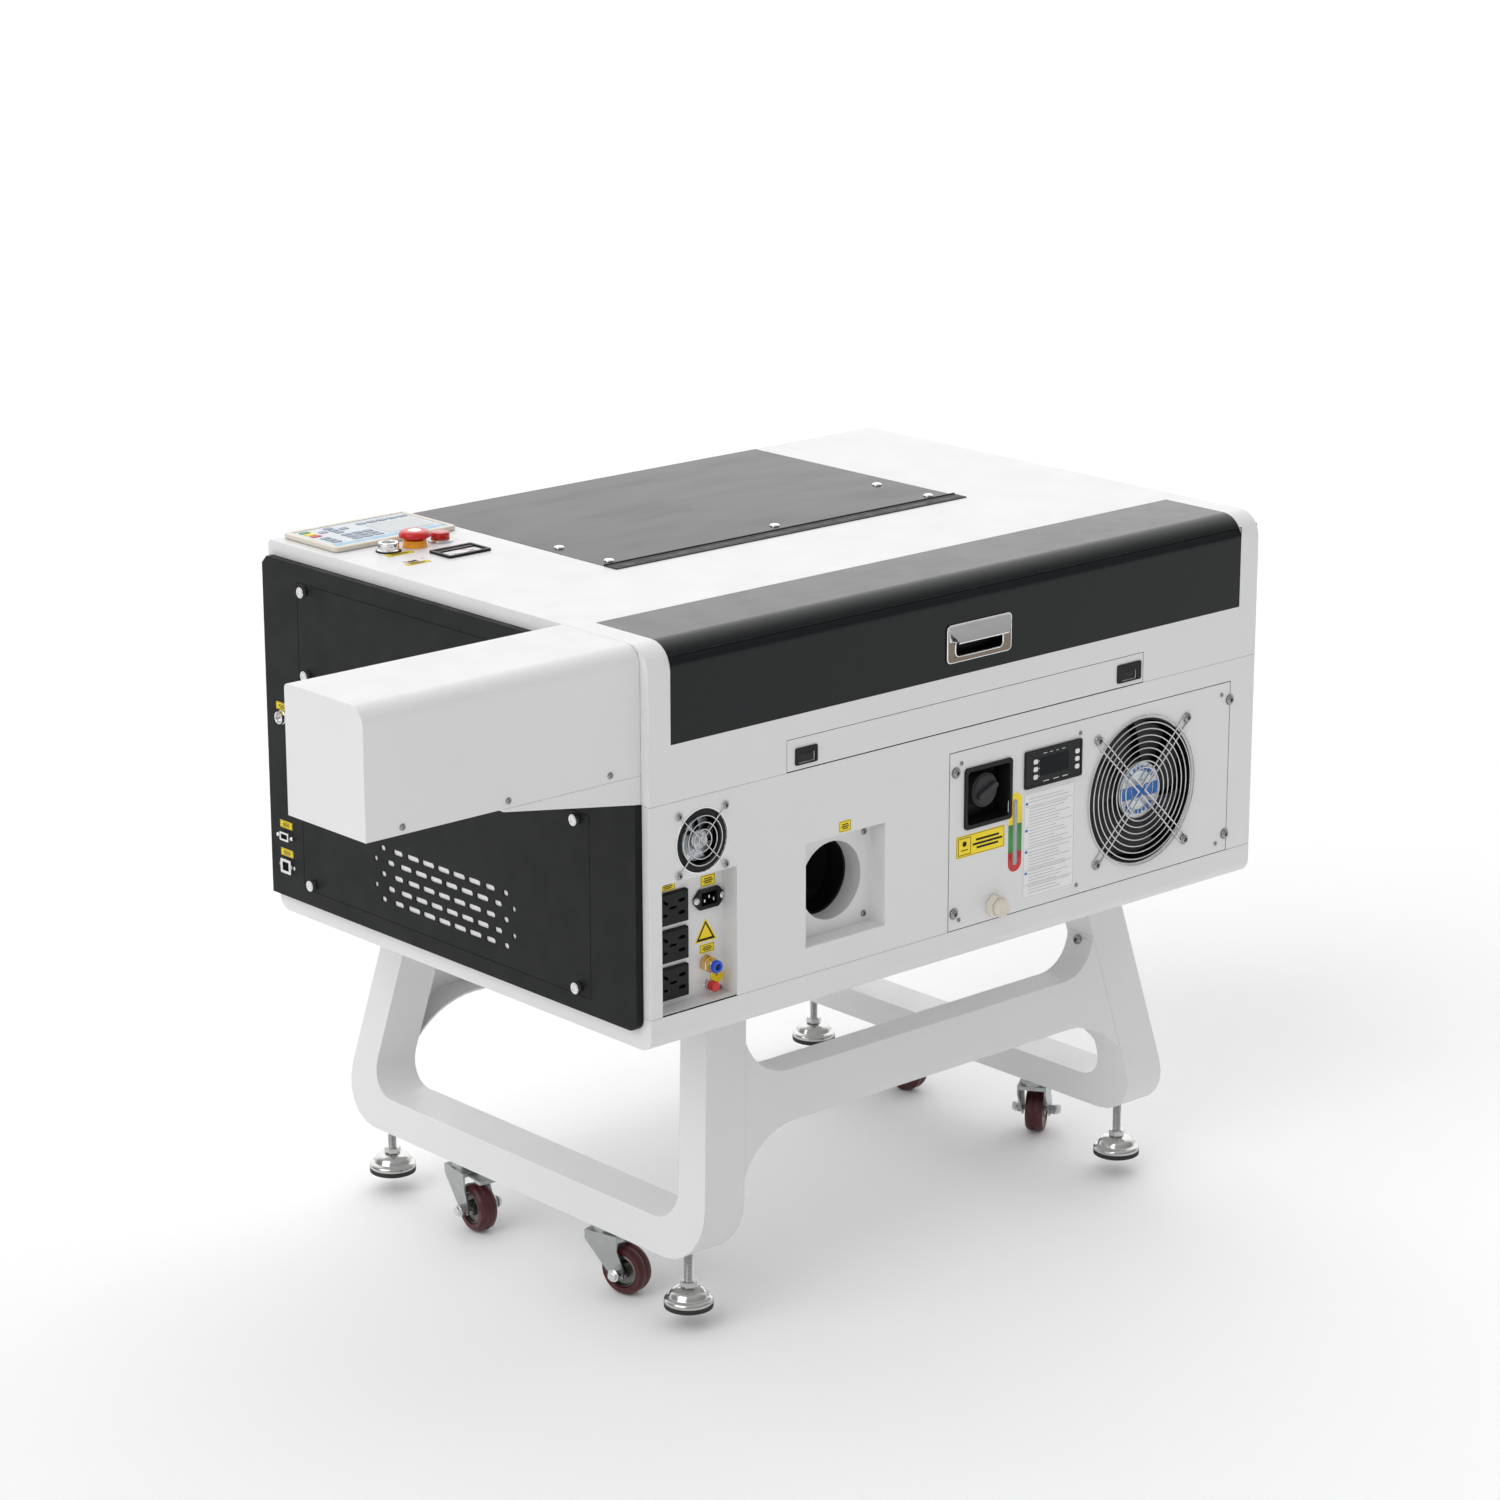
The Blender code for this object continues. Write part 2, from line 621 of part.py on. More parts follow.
def make_exhaust(machine):
    """The exhaust recess with its round duct."""
    recess = make_recess("exhaust_recess", EXHAUST_OPENING, RECESS_DEPTH)
    centre = (
        (EXHAUST_OPENING[0] + EXHAUST_OPENING[2]) / 2,
        (EXHAUST_OPENING[1] + EXHAUST_OPENING[3]) / 2,
    )
    back = REAR - RECESS_DEPTH
    join(recess, rod("duct", centre, EXHAUST_HOLE_RADIUS + 0.002, "y", back - 0.060, back - 0.001, 40))
    cut(recess, rod("bore", centre, EXHAUST_HOLE_RADIUS, "y", back - 0.1, back + 0.01, 40))
    machine.add(recess, "white_paint")


def make_fan(machine, name, centre, guard_radii, pitch, wire, rotor):
    """A wire guard on the rear face and the rotor behind it.

    guard_radii are the rings' middle radii; rotor is (hub radius, tip radius,
    rear y, front y, blades).
    """
    face = REAR + GAP
    x, z = centre
    guard = rod(f"{name}_guard", centre, guard_radii[0] + wire, "y", face + wire * 0.2, face + wire * 1.8, 40)
    cut(guard, rod("inside", centre, guard_radii[0] - wire, "y", 0.3, 0.5, 40))
    arm = pitch / math.sqrt(2)
    for turn in (45, 135):
        angle = math.radians(turn)
        along = Vector((math.cos(angle), math.sin(angle)))
        side = Vector((-along.y, along.x)) * wire
        tip = along * arm
        middle = Vector((x, z))
        outline = [middle - tip - side, middle + tip - side, middle + tip + side, middle - tip + side]
        join(guard, prism("spoke", [tuple(p) for p in outline], "y", face, face + wire * 2))
        for end in (-1, 1):
            eye = middle + tip * end
            join(guard, rod("eye", tuple(eye), wire * 2.6, "y", face + wire * 0.1, face + wire * 1.7, 12))
    for radius in guard_radii[1:]:
        ring = rod("ring", centre, radius + wire, "y", face + wire * 0.2, face + wire * 1.8, 32)
        join(guard, cut(ring, rod("inside", centre, radius - wire, "y", 0.3, 0.5, 32)))
    machine.add(guard, "chrome")

    hub_radius, tip_radius, rear_y, front_y, blades = rotor
    spinner = rod(f"{name}_rotor", centre, hub_radius, "y", rear_y, front_y, 24)
    for i in range(blades):
        root, half = hub_radius * 0.8, (front_y - rear_y) * 0.42
        blade = block("blade", (root, -0.0012, -half), (tip_radius, 0.0012, half))
        lean = Matrix.Rotation(math.radians(48), 4, "X")
        upright = Matrix.Rotation(math.pi / 2, 4, "X")
        spin = Matrix.Rotation(2 * math.pi * i / blades, 4, "Y")
        middle = Matrix.Translation((x, (rear_y + front_y) / 2, z))
        blade.data.transform(middle @ spin @ upright @ lean)
        join(spinner, blade)
    machine.add(spinner, "black_plastic", (x, (rear_y + front_y) / 2, z))


def make_chiller(machine):
    """The chiller's panel with its filler pocket, caps and water tank."""
    low_x, low_z, high_x, high_z = CHILLER
    panel = block("chiller_panel", (low_x, REAR - SHEET, low_z), (high_x, REAR, high_z))
    box = FILLER_BOX
    back = REAR - 0.030
    lip = 0.002
    pocket = block("pocket", (box[0], back, box[1]), (box[2], REAR - 0.001, box[3]))
    join(panel, pocket)
    cut(panel, block("mouth", (box[0] + lip, back + lip, box[1] + lip), (box[2] - lip, 0.4, box[3] - lip)))
    cut(panel, rod("fan_way", BIG_FAN, 0.0955, "y", 0.3, 0.4, 48))
    cut(panel, rod("drain_way", DRAIN_CAP, 0.0085, "y", 0.3, 0.4, 20))
    machine.add(panel, "white_paint")

    cap_base = back + lip + GAP
    out = Matrix.Translation((FILLER_CAP[0], cap_base, FILLER_CAP[1])) @ Matrix.Rotation(-math.pi / 2, 4, "X")
    cap = turned("filler_cap", [(0, 0), (0.0225, 0), (0.0225, 0.014), (0.0205, 0.016), (0, 0.016)], 28, out)
    grip = (0.0028, 0.021)
    low = (FILLER_CAP[0] - grip[0], cap_base + 0.015, FILLER_CAP[1] - grip[1] * 0.9)
    join(cap, block("grip", low, (FILLER_CAP[0] + grip[0], cap_base + 0.026, FILLER_CAP[1] + grip[1] * 0.9)))
    machine.add(cap, "black_plastic", (FILLER_CAP[0], cap_base, FILLER_CAP[1]))

    face = REAR + GAP
    out = Matrix.Translation((DRAIN_CAP[0], face, DRAIN_CAP[1])) @ Matrix.Rotation(-math.pi / 2, 4, "X")
    drain = turned("drain_cap", [(0, 0), (0.0145, 0), (0.0145, 0.010), (0, 0.010)], 6, out)
    nose = turned("nose", [(0, 0.009), (0.0110, 0.009), (0.0110, 0.018), (0.0098, 0.020), (0, 0.020)], 20, out)
    stem = turned("stem", [(0, -0.020), (0.0080, -0.020), (0.0080, 0.001), (0, 0.001)], 20, out)
    machine.add(join(drain, nose, stem), "cream_plastic", (DRAIN_CAP[0], face, DRAIN_CAP[1]))

    tank = block("water_tank", (-0.080, 0.180, BOTTOM + 0.010), (0.050, 0.320, 0.680))
    machine.add(tank, "cream_plastic")
    supply = block("power_supply", (-0.480, -0.260, BOTTOM + 0.010), (-0.330, -0.010, 0.560))
    machine.add(supply, "steel")


# ----------------------------------------------------------------- controls


def make_controls(machine):
    """The keypad, the stop button, the key switch and the laser button."""
    low_x, low_y, high_x, high_y = KEYPAD
    corners = [(low_x, low_y), (high_x, low_y), (high_x, high_y), (low_x, high_y)]
    base = TOP + GAP
    outline = rounded([(x, y, 0.010) for x, y in corners], 4)
    machine.add(prism("keypad", outline, "z", base, base + 0.0065), "cream_plastic")

    key_place = Matrix.Translation((KEY_X, CONTROL_Y, base))
    profile = [(0, -0.012), (0.0105, -0.012), (0.0105, 0), (0.0147, 0), (0.0147, 0.011), (0.013, 0.0117), (0, 0.0117)]
    machine.add(turned("key_switch", profile, 28, key_place), "chrome", (KEY_X, CONTROL_Y, base))

    stop_place = Matrix.Translation((STOP_X, CONTROL_Y, base))
    profile = [(0, -0.012), (0.0105, -0.012), (0.0105, 0.0115), (0.0185, 0.0115), (0.020, 0.013)]
    profile += [(0.020, 0.0170), (0.0175, 0.0195), (0.008, 0.0207), (0, 0.0207)]
    machine.add(turned("emergency_stop_button", profile, 28, stop_place), "red_plastic", (STOP_X, CONTROL_Y, base))

    button_place = Matrix.Translation((BUTTON_X, CONTROL_Y, base))
    profile = [(0, -0.012), (0.0095, -0.012), (0.0095, 0.004), (0.0120, 0.004), (0.0120, 0.0118), (0, 0.0124)]
    machine.add(turned("laser_button", profile, 28, button_place), "red_plastic", (BUTTON_X, CONTROL_Y, base))


# ---------------------------------------------------------- laser mechanism


def make_mechanism(machine):
    """The tube, its holders, the mirrors, rails, gantry, head and table."""
    tube_low, tube_high = -0.370, 0.880
    tube = rod("laser_tube", (TUBE_Y, BEAM_Z), TUBE_RADIUS, "x", tube_low + 0.05, tube_high - 0.05, 28)
    join(
        tube,
        rod("output_end", (TUBE_Y, BEAM_Z), 0.020, "x", tube_low, tube_low + 0.055, 20),
        rod("far_end", (TUBE_Y, BEAM_Z), 0.020, "x", tube_high - 0.055, tube_high, 20),
    )
    machine.add(tube, "glass")
    for side, x in (("right", 0.350), ("left", -0.200)):
        holder = block(f"tube_holder_{side}", (x - 0.012, 0.235, SHELF_Z + SHEET + GAP), (x + 0.012, 0.345, 0.815))
        band = rod("band", (TUBE_Y, BEAM_Z), TUBE_RADIUS + 0.006, "x", x - 0.010, x + 0.010, 28)
        join(holder, band)
        cut(holder, rod("seat", (TUBE_Y, BEAM_Z), TUBE_RADIUS + 0.0006, "x", x - 0.03, x + 0.03, 28))
        machine.add(holder, "aluminium")

    stand = block("first_mirror", (-0.462, 0.262, SHELF_Z + SHEET + GAP), (-0.430, 0.318, 0.795))
    plate = block("plate", (-0.003, -0.024, 0.785), (0.003, 0.024, 0.850))
    plate.data.transform(Matrix.Translation((-0.446, TUBE_Y, 0)) @ Matrix.Rotation(math.radians(45), 4, "Z"))
    machine.add(join(stand, plate), "aluminium")

    rail_low = DECK_Z + SHEET + GAP
    for side, x in (("right", RAIL_X), ("left", -RAIL_X)):
        rail = block(f"rail_{side}", (x - 0.010, -0.355, rail_low), (x + 0.010, 0.205, 0.790))
        machine.add(rail, "steel")

    y = GANTRY_Y
    gantry = block("gantry_beam", (-0.425, y - 0.020, 0.806), (0.425, y + 0.020, 0.846))
    for side in (-1, 1):
        shoe_low = (side * RAIL_X - 0.022, y - 0.028, 0.7903)
        join(gantry, block("shoe", shoe_low, (side * RAIL_X + 0.022, y + 0.028, 0.812)))
    mirror = block("mirror", (-0.003, -0.022, 0.802), (0.003, 0.022, 0.852))
    mirror.data.transform(Matrix.Translation((-0.438, y, 0)) @ Matrix.Rotation(math.radians(-45), 4, "Z"))
    join(gantry, mirror)
    machine.add(gantry, "aluminium", (0.0, y, 0.790))

    head_rear = y - 0.020 - GAP
    head = block("laser_head", (HEAD_X - 0.035, head_rear - 0.010, 0.796), (HEAD_X + 0.035, head_rear, 0.852))
    join(head, block("mirror_box", (HEAD_X - 0.020, head_rear - 0.042, 0.806), (HEAD_X + 0.020, head_rear - 0.008, 0.846)))
    nozzle_place = Matrix.Translation((HEAD_X, head_rear - 0.026, 0))
    profile = [(0, 0.735), (0.003, 0.735), (0.012, 0.758), (0.014, 0.762), (0.014, 0.808), (0, 0.808)]
    join(head, turned("lens_tube", profile, 20, nozzle_place))
    machine.add(head, "aluminium", (HEAD_X, head_rear, 0.80))

    table = block("work_table", (-0.305, -0.350, TABLE_Z - 0.012), (0.305, 0.095, TABLE_Z))
    machine.add(table, "aluminium", (0.0, 0.0, TABLE_Z))


# -------------------------------------------------------------------- stand


def loop_outline(inset, top):
    """An end frame's outer outline, in (y, z), leaning out as it goes down."""
    low = BAR_LOW + inset
    half_low = STAND_HALF + LEG_SLOPE_Y * (BOTTOM - low) - inset
    half_top = STAND_HALF + LEG_SLOPE_Y * (BOTTOM - top) - inset
    return rounded(
        [
            (STAND_Y - half_top, top, 0),
            (STAND_Y - half_low, low, 0.062 - inset),
            (STAND_Y + half_low, low, 0.062 - inset),
            (STAND_Y + half_top, top, 0),
        ]
    )


def loop_window(grow):
    """The window inside an end frame, grown by the wall when grow is set."""
    low, high = BAR_HIGH - grow, BOTTOM - 0.016 + grow
    half_low = STAND_HALF - LEG_DEPTH + LEG_SLOPE_Y * (BOTTOM - low) + grow
    half_high = STAND_HALF - LEG_DEPTH + LEG_SLOPE_Y * (BOTTOM - high) + grow
    return rounded(
        [
            (STAND_Y - half_high, high, 0.016 + grow),
            (STAND_Y - half_low, low, 0.038 + grow),
            (STAND_Y + half_low, low, 0.038 + grow),
            (STAND_Y + half_high, high, 0.016 + grow),
        ]
    )


def make_stand(machine):
    """Two folded end frames and two cross beams between their legs."""
    inner_x = LEG_OUTER_X - LEG_WIDTH
    top = BOTTOM - GAP
    for side, name in ((1, "right"), (-1, "left")):
        frame = prism(f"stand_frame_{name}", loop_outline(0, top), "x", side * inner_x, side * LEG_OUTER_X)
        wall = STAND_WALL
        core_x = (side * (inner_x + wall), side * (LEG_OUTER_X - wall))
        core = prism("core", loop_outline(wall, BOTTOM + 0.02), "x", *core_x)
        wide_x = (side * (inner_x - 0.02), side * (LEG_OUTER_X + 0.02))
        cut(core, prism("window_wall", loop_window(wall), "x", *wide_x))
        cut(frame, prism("window", loop_window(0), "x", *wide_x), core)
        slope_x(frame, side)
        for end in (-1, 1):
            spot = (side * FOOT_X, STAND_Y + end * FOOT_REACH)
            cut(frame, rod("stud_way", spot, 0.0070, "z", BAR_LOW - 0.01, BAR_LOW + 0.01, 20))
        machine.add(frame, "white_paint")

    for end, name in ((1, "rear"), (-1, "front")):
        face_y = STAND_Y + end * STAND_HALF
        beam = prism(f"stand_beam_{name}", beam_outline(0), "y", face_y - end * BEAM_DEPTH, face_y)
        hollow = prism("hollow", beam_outline(STAND_WALL), "y", face_y - end * 0.2, face_y - end * STAND_WALL)
        cut(beam, hollow)
        slope_y(beam, end)
        machine.add(beam, "white_paint")


def beam_outline(inset):
    """A cross beam's outline, in (x, z): arcs widen it where it meets the legs."""
    top, low = BEAM_TOP - inset, BEAM_LOW + inset
    upper, lower = 0.062, 0.1096
    upper_x, lower_x = 0.243, 0.240

    def leg_x(z):
        return LEG_OUTER_X - LEG_WIDTH + LEG_SLOPE_X * (BOTTOM - z) - GAP - inset

    right = []
    for k in range(8):
        angle = math.radians(76 * k / 7)
        radius = upper + inset
        x = upper_x + radius * math.sin(angle)
        right.append((x, top + upper + inset - radius * math.cos(angle)))
    end_z = right[-1][1]
    right[-1] = (leg_x(end_z), end_z)
    reach = math.radians(57.0)
    arc = []
    for k in range(8):
        angle = reach * k / 7
        radius = lower + inset
        x = lower_x + radius * math.sin(angle)
        arc.append((x, low - lower - inset + radius * math.cos(angle)))
    arc[-1] = (leg_x(arc[-1][1]), arc[-1][1])
    right += reversed(arc)
    left = [(-x, z) for x, z in reversed(right)]
    return right + left


def make_feet(machine):
    """Four leveling feet, wound up clear of the floor while it stands on wheels."""
    for x_side, x_name in ((1, "right"), (-1, "left")):
        for y_side, y_name in ((1, "rear"), (-1, "front")):
            spot = (x_side * FOOT_X, STAND_Y + y_side * FOOT_REACH)
            place = Matrix.Translation((*spot, FOOT_CLEARANCE))
            profile = [(0, 0), (FOOT_RADIUS, 0), (FOOT_RADIUS, 0.005), (0.0295, 0.010), (0.025, 0.015)]
            profile += [(0.016, 0.019), (0.009, 0.021), (0, 0.021)]
            foot = turned(f"leveling_foot_{y_name}_{x_name}", profile, 24, place)
            nut = turned("nut", [(0, 0.019), (0.0105, 0.019), (0.0105, 0.028), (0, 0.028)], 6, place)
            stud = turned("stud", [(0, 0.026), (0.006, 0.026), (0.006, 0.108), (0, 0.110)], 16, place)
            machine.add(join(foot, nut, stud), "chrome", (*spot, FOOT_CLEARANCE))


def make_casters(machine):
    """Four swivel casters, each a fork and a wheel; the front two have a brake."""
    axle_z = WHEEL_RADIUS
    for name, (x_side, y_side, heading) in CASTERS.items():
        spot = (x_side * CASTER_X, STAND_Y + y_side * CASTER_REACH, 0.0)
        place = Matrix.Translation(spot) @ Matrix.Rotation(heading, 4, "Z")
        fork = block(f"caster_fork_{name}", (-0.020, -0.018, 0.0745), (0.020, 0.030, 0.080))
        cheek = [
            (-0.018, 0.0800),
            (0.030, 0.0800),
            (0.031, 0.060),
            (0.041, 0.038),
            (0.040, 0.026),
            (0.026, 0.0235),
            (0.014, 0.034),
            (-0.018, 0.068),
        ]
        for side in (-1, 1):
            ends = sorted((side * 0.0175, side * 0.0199))
            join(fork, prism("cheek", cheek, "x", *ends))
            nut_ends = sorted((side * 0.0195, side * 0.0265))
            join(fork, rod("nut", (CASTER_TRAIL, axle_z), 0.0075, "x", *nut_ends, 6))
        join(
            fork,
            rod("axle", (CASTER_TRAIL, axle_z), 0.004, "x", -0.029, 0.029, 16),
            rod("bearing", (0, 0), 0.018, "z", 0.0795, BAR_LOW - GAP, 28),
        )
        fork.data.transform(place)
        machine.add(fork, "zinc", spot)

        corner = WHEEL_RADIUS / math.cos(math.pi / WHEEL_SIDES)
        profile = [(0.0046, -0.015), (0.026, -0.015), (0.0305, -0.0125), (corner, -0.008)]
        profile += [(radius, -width) for radius, width in reversed(profile)]
        spin = Matrix.Translation((0, CASTER_TRAIL, axle_z)) @ Matrix.Rotation(math.pi / 2, 4, "Y")
        flat_down = Matrix.Rotation(math.pi / 2, 4, "Z")
        wheel = turned(f"caster_wheel_{name}", profile, WHEEL_SIDES, place @ spin @ flat_down)
        hub = place @ Vector((0, CASTER_TRAIL, axle_z))
        machine.add(wheel, "red_tyre", tuple(hub))

        if name in BRAKED:
            pedal = block(f"brake_pedal_{name}", (-0.012, 0.0315, 0.0745), (0.012, 0.060, 0.0775))
            join(pedal, block("tread", (-0.016, 0.052, 0.0748), (0.016, 0.066, 0.0795)))
            pedal.data.transform(place)
            machine.add(pedal, "zinc", tuple(place @ Vector((0, 0.0312, 0.076))))


def main():
    for obj in list(bpy.data.objects):
        bpy.data.objects.remove(obj)
    machine = Machine()
    make_base_frame(machine)
    make_lower_cabinet(machine)
    make_upper_cabinet(machine)
    make_side_panels(machine)
    make_tube_lid(machine)
    make_window_lid(machine)
    make_rear_flap(machine)
    make_extension(machine)
    make_drawer(machine)
    make_sockets(machine)
    make_exhaust(machine)
    make_fan(machine, "small_fan", SMALL_FAN, (0.0385, 0.024, 0.010), SMALL_FAN_PITCH, 0.0010,
             (0.014, 0.036, 0.342, 0.360, 7))
    make_fan(machine, "big_fan", BIG_FAN, (0.0970, 0.072, 0.047, 0.022), BIG_FAN_PITCH, 0.0016,
             (0.040, 0.090, 0.320, 0.352, 5))
    make_chiller(machine)
    make_controls(machine)
    make_mechanism(machine)
    make_stand(machine)
    make_feet(machine)
    make_casters(machine)


main()
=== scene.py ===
"""The visible laser engraver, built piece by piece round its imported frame.

Each class is one sub-assembly. Sizes are in millimetres and start at the
middle of the cabinet's footprint: x runs to the operator's right, y to the
rear and z up from the floor. Fittings are built lying flat, with their front
towards +z, and are then seated on the face that carries them.
"""

import json
import logging
import math
from contextlib import contextmanager
from dataclasses import dataclass
from enum import Enum
from functools import lru_cache
from typing import Callable, Iterable, Iterator, Sequence

import bmesh
import bpy
from mathutils import Matrix, Vector


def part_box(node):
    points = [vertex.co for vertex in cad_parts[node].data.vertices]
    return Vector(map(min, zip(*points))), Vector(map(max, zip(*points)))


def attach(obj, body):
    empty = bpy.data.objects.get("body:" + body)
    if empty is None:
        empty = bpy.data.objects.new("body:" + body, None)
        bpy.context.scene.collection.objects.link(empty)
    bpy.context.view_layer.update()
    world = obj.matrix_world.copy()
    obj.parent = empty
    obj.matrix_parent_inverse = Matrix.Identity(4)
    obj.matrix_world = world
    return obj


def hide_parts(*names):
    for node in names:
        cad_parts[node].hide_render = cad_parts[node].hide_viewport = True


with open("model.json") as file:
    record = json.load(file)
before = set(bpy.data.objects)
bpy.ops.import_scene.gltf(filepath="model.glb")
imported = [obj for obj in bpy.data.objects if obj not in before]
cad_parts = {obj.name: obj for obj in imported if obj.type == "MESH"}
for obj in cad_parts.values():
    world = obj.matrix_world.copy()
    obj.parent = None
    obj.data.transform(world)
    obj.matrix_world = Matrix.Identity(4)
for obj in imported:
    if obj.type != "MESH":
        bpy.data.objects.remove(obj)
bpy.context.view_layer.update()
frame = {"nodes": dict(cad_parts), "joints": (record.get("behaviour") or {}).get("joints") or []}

LOG = logging.getLogger("engraver")
MM = 0.001
ROOT = "machine_body"

# Where the outer faces lie: the rear wall, the back of the recesses, the top
# and the right-hand side.
REAR_WALL = 368.2
RECESS_WALL = 342.2
TOP_WALL = 900.0
SIDE_WALL = 529.0

# Finishes darker than this shine less than a pale one.
DARK = 0.06

Point = Sequence[float]
Outline = list[tuple[float, float]]


class Face(Enum):
    """Which way the front of a fitting looks."""

    REAR = ((0, 1, 0), (0, 0, 1))
    RIGHT = ((1, 0, 0), (0, 0, 1))
    LEFT = ((-1, 0, 0), (0, 0, 1))
    TOP = ((0, 0, 1), (0, 1, 0))

    def turn(self) -> Matrix:
        """Returns the turn that takes a flat-built fitting to this face."""
        out, up = (Vector(v) for v in self.value)
        return Matrix((up.cross(out), up, out)).transposed().to_4x4()


class Kind(Enum):
    """What an edit selects."""

    VERT = "verts"
    EDGE = "edges"
    FACE = "faces"


def seat(face: Face, x: float, y: float, z: float, roll: float = 0.0) -> Matrix:
    """Returns the place of a fitting on a face.

    Args:
        face: The face that carries it.
        x: Distance to the operator's right.
        y: Distance to the rear.
        z: Height above the floor.
        roll: Turn in the face, in degrees.

    Returns:
        A matrix in machine millimetres.
    """
    spin = Matrix.Rotation(math.radians(roll), 4, "Z")
    return Matrix.Translation((x, y, z)) @ face.turn() @ spin


@lru_cache(maxsize=None)
def _middle() -> tuple[float, float]:
    """Returns the cabinet's middle in the row frame."""
    low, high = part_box("lower_cabinet")
    return (low[0] + high[0]) / 2, (low[1] + high[1]) / 2


def machine() -> Matrix:
    """Returns the matrix from machine millimetres to the row frame."""
    return Matrix.Translation((*_middle(), 0)) @ Matrix.Scale(MM, 4)


def clear() -> None:
    """Deselects everything."""
    for obj in bpy.context.selected_objects:
        obj.select_set(False)


def only(obj: bpy.types.Object) -> None:
    """Makes one object the only selected and the active one.

    Args:
        obj: The object.
    """
    clear()
    obj.select_set(True)
    bpy.context.view_layer.objects.active = obj


def added() -> bpy.types.Object:
    """Applies the place of the object that the last operator added.

    Returns:
        The object.
    """
    obj = bpy.context.active_object
    only(obj)
    bpy.ops.object.transform_apply(location=True, rotation=True, scale=True)
    return obj


@contextmanager
def editing(obj: bpy.types.Object) -> Iterator[None]:
    """Opens an object in edit mode, and closes it after.

    Args:
        obj: The object, in which nothing is selected.

    Yields:
        Nothing.
    """
    only(obj)
    bpy.ops.object.mode_set(mode="EDIT")
    bpy.ops.mesh.select_all(action="DESELECT")
    try:
        yield
    finally:
        bpy.ops.object.mode_set(mode="OBJECT")


def choose(obj: bpy.types.Object, kind: Kind, test: Callable[..., bool]) -> None:
    """Selects the parts of a mesh in edit mode that pass a test.

    Args:
        obj: The object being edited.
        kind: What is selected.
        test: Says of one vertex, edge or face whether it is chosen.
    """
    bpy.ops.mesh.select_mode(type=kind.name)
    bpy.ops.mesh.select_all(action="DESELECT")
    shape = bmesh.from_edit_mesh(obj.data)
    for part in getattr(shape, kind.value):
        if test(part):
            part.select_set(True)
    bmesh.update_edit_mesh(obj.data)


def apply(obj: bpy.types.Object, kind: str, **settings: object) -> None:
    """Adds a modifier and applies it.

    Args:
        obj: The object.
        kind: The modifier's type.
        settings: Its settings.
    """
    only(obj)
    modifier = obj.modifiers.new(kind.title(), kind)
    for name, value in settings.items():
        setattr(modifier, name, value)
    bpy.ops.object.modifier_apply(modifier=modifier.name)


def ease(obj: bpy.types.Object, width: float, steps: int = 2,
         angle: float = 38.0) -> bpy.types.Object:
    """Rounds the sharp edges of a mesh and shades it.

    Args:
        obj: The object.
        width: Width of the rounding; 0 only shades.
        steps: Segments across it.
        angle: Edges sharper than this many degrees are rounded.

    Returns:
        The same object.
    """
    only(obj)
    limit = math.radians(angle)
    if width:
        apply(obj, "BEVEL", width=width, segments=steps, limit_method="ANGLE",
              angle_limit=limit, face_strength_mode="FSTR_AFFECTED")
        limit = math.radians(max(angle, 50))
    bpy.ops.object.shade_smooth_by_angle(angle=limit)
    apply(obj, "WEIGHTED_NORMAL", keep_sharp=True,
          use_face_influence=bool(width))
    return obj


def tidy(obj: bpy.types.Object) -> bpy.types.Object:
    """Merges doubles, joins flat faces and turns all faces outwards.

    Args:
        obj: The object.

    Returns:
        The same object.
    """
    with editing(obj):
        bpy.ops.mesh.select_all(action="SELECT")
        bpy.ops.mesh.remove_doubles(threshold=0.004)
        bpy.ops.mesh.dissolve_limited(angle_limit=math.radians(0.6))
        bpy.ops.mesh.normals_make_consistent(inside=False)
    return obj


def block(low: Point, high: Point, corner: float = 0.0, along: str = "z",
          edge: float = 0.3, steps: int = 6) -> bpy.types.Object:
    """A box between two corners, with rounded upright corners.

    Args:
        low: Lowest corner.
        high: Highest corner.
        corner: Radius of the four edges that run along the axis.
        along: That axis.
        edge: Rounding of all other edges.
        steps: Segments round a corner.

    Returns:
        The new object.
    """
    clear()
    middle = (Vector(low) + Vector(high)) / 2
    bpy.ops.mesh.primitive_cube_add(size=1, location=middle)
    obj = bpy.context.active_object
    obj.scale = Vector(high) - Vector(low)
    added()
    if corner:
        axis = "xyz".index(along)
        with editing(obj):
            choose(obj, Kind.EDGE, lambda e: abs(
                (e.verts[1].co - e.verts[0].co).normalized()[axis]) > 0.99)
            bpy.ops.mesh.bevel(offset=corner, segments=steps, affect="EDGES")
    return ease(obj, edge) if edge else obj


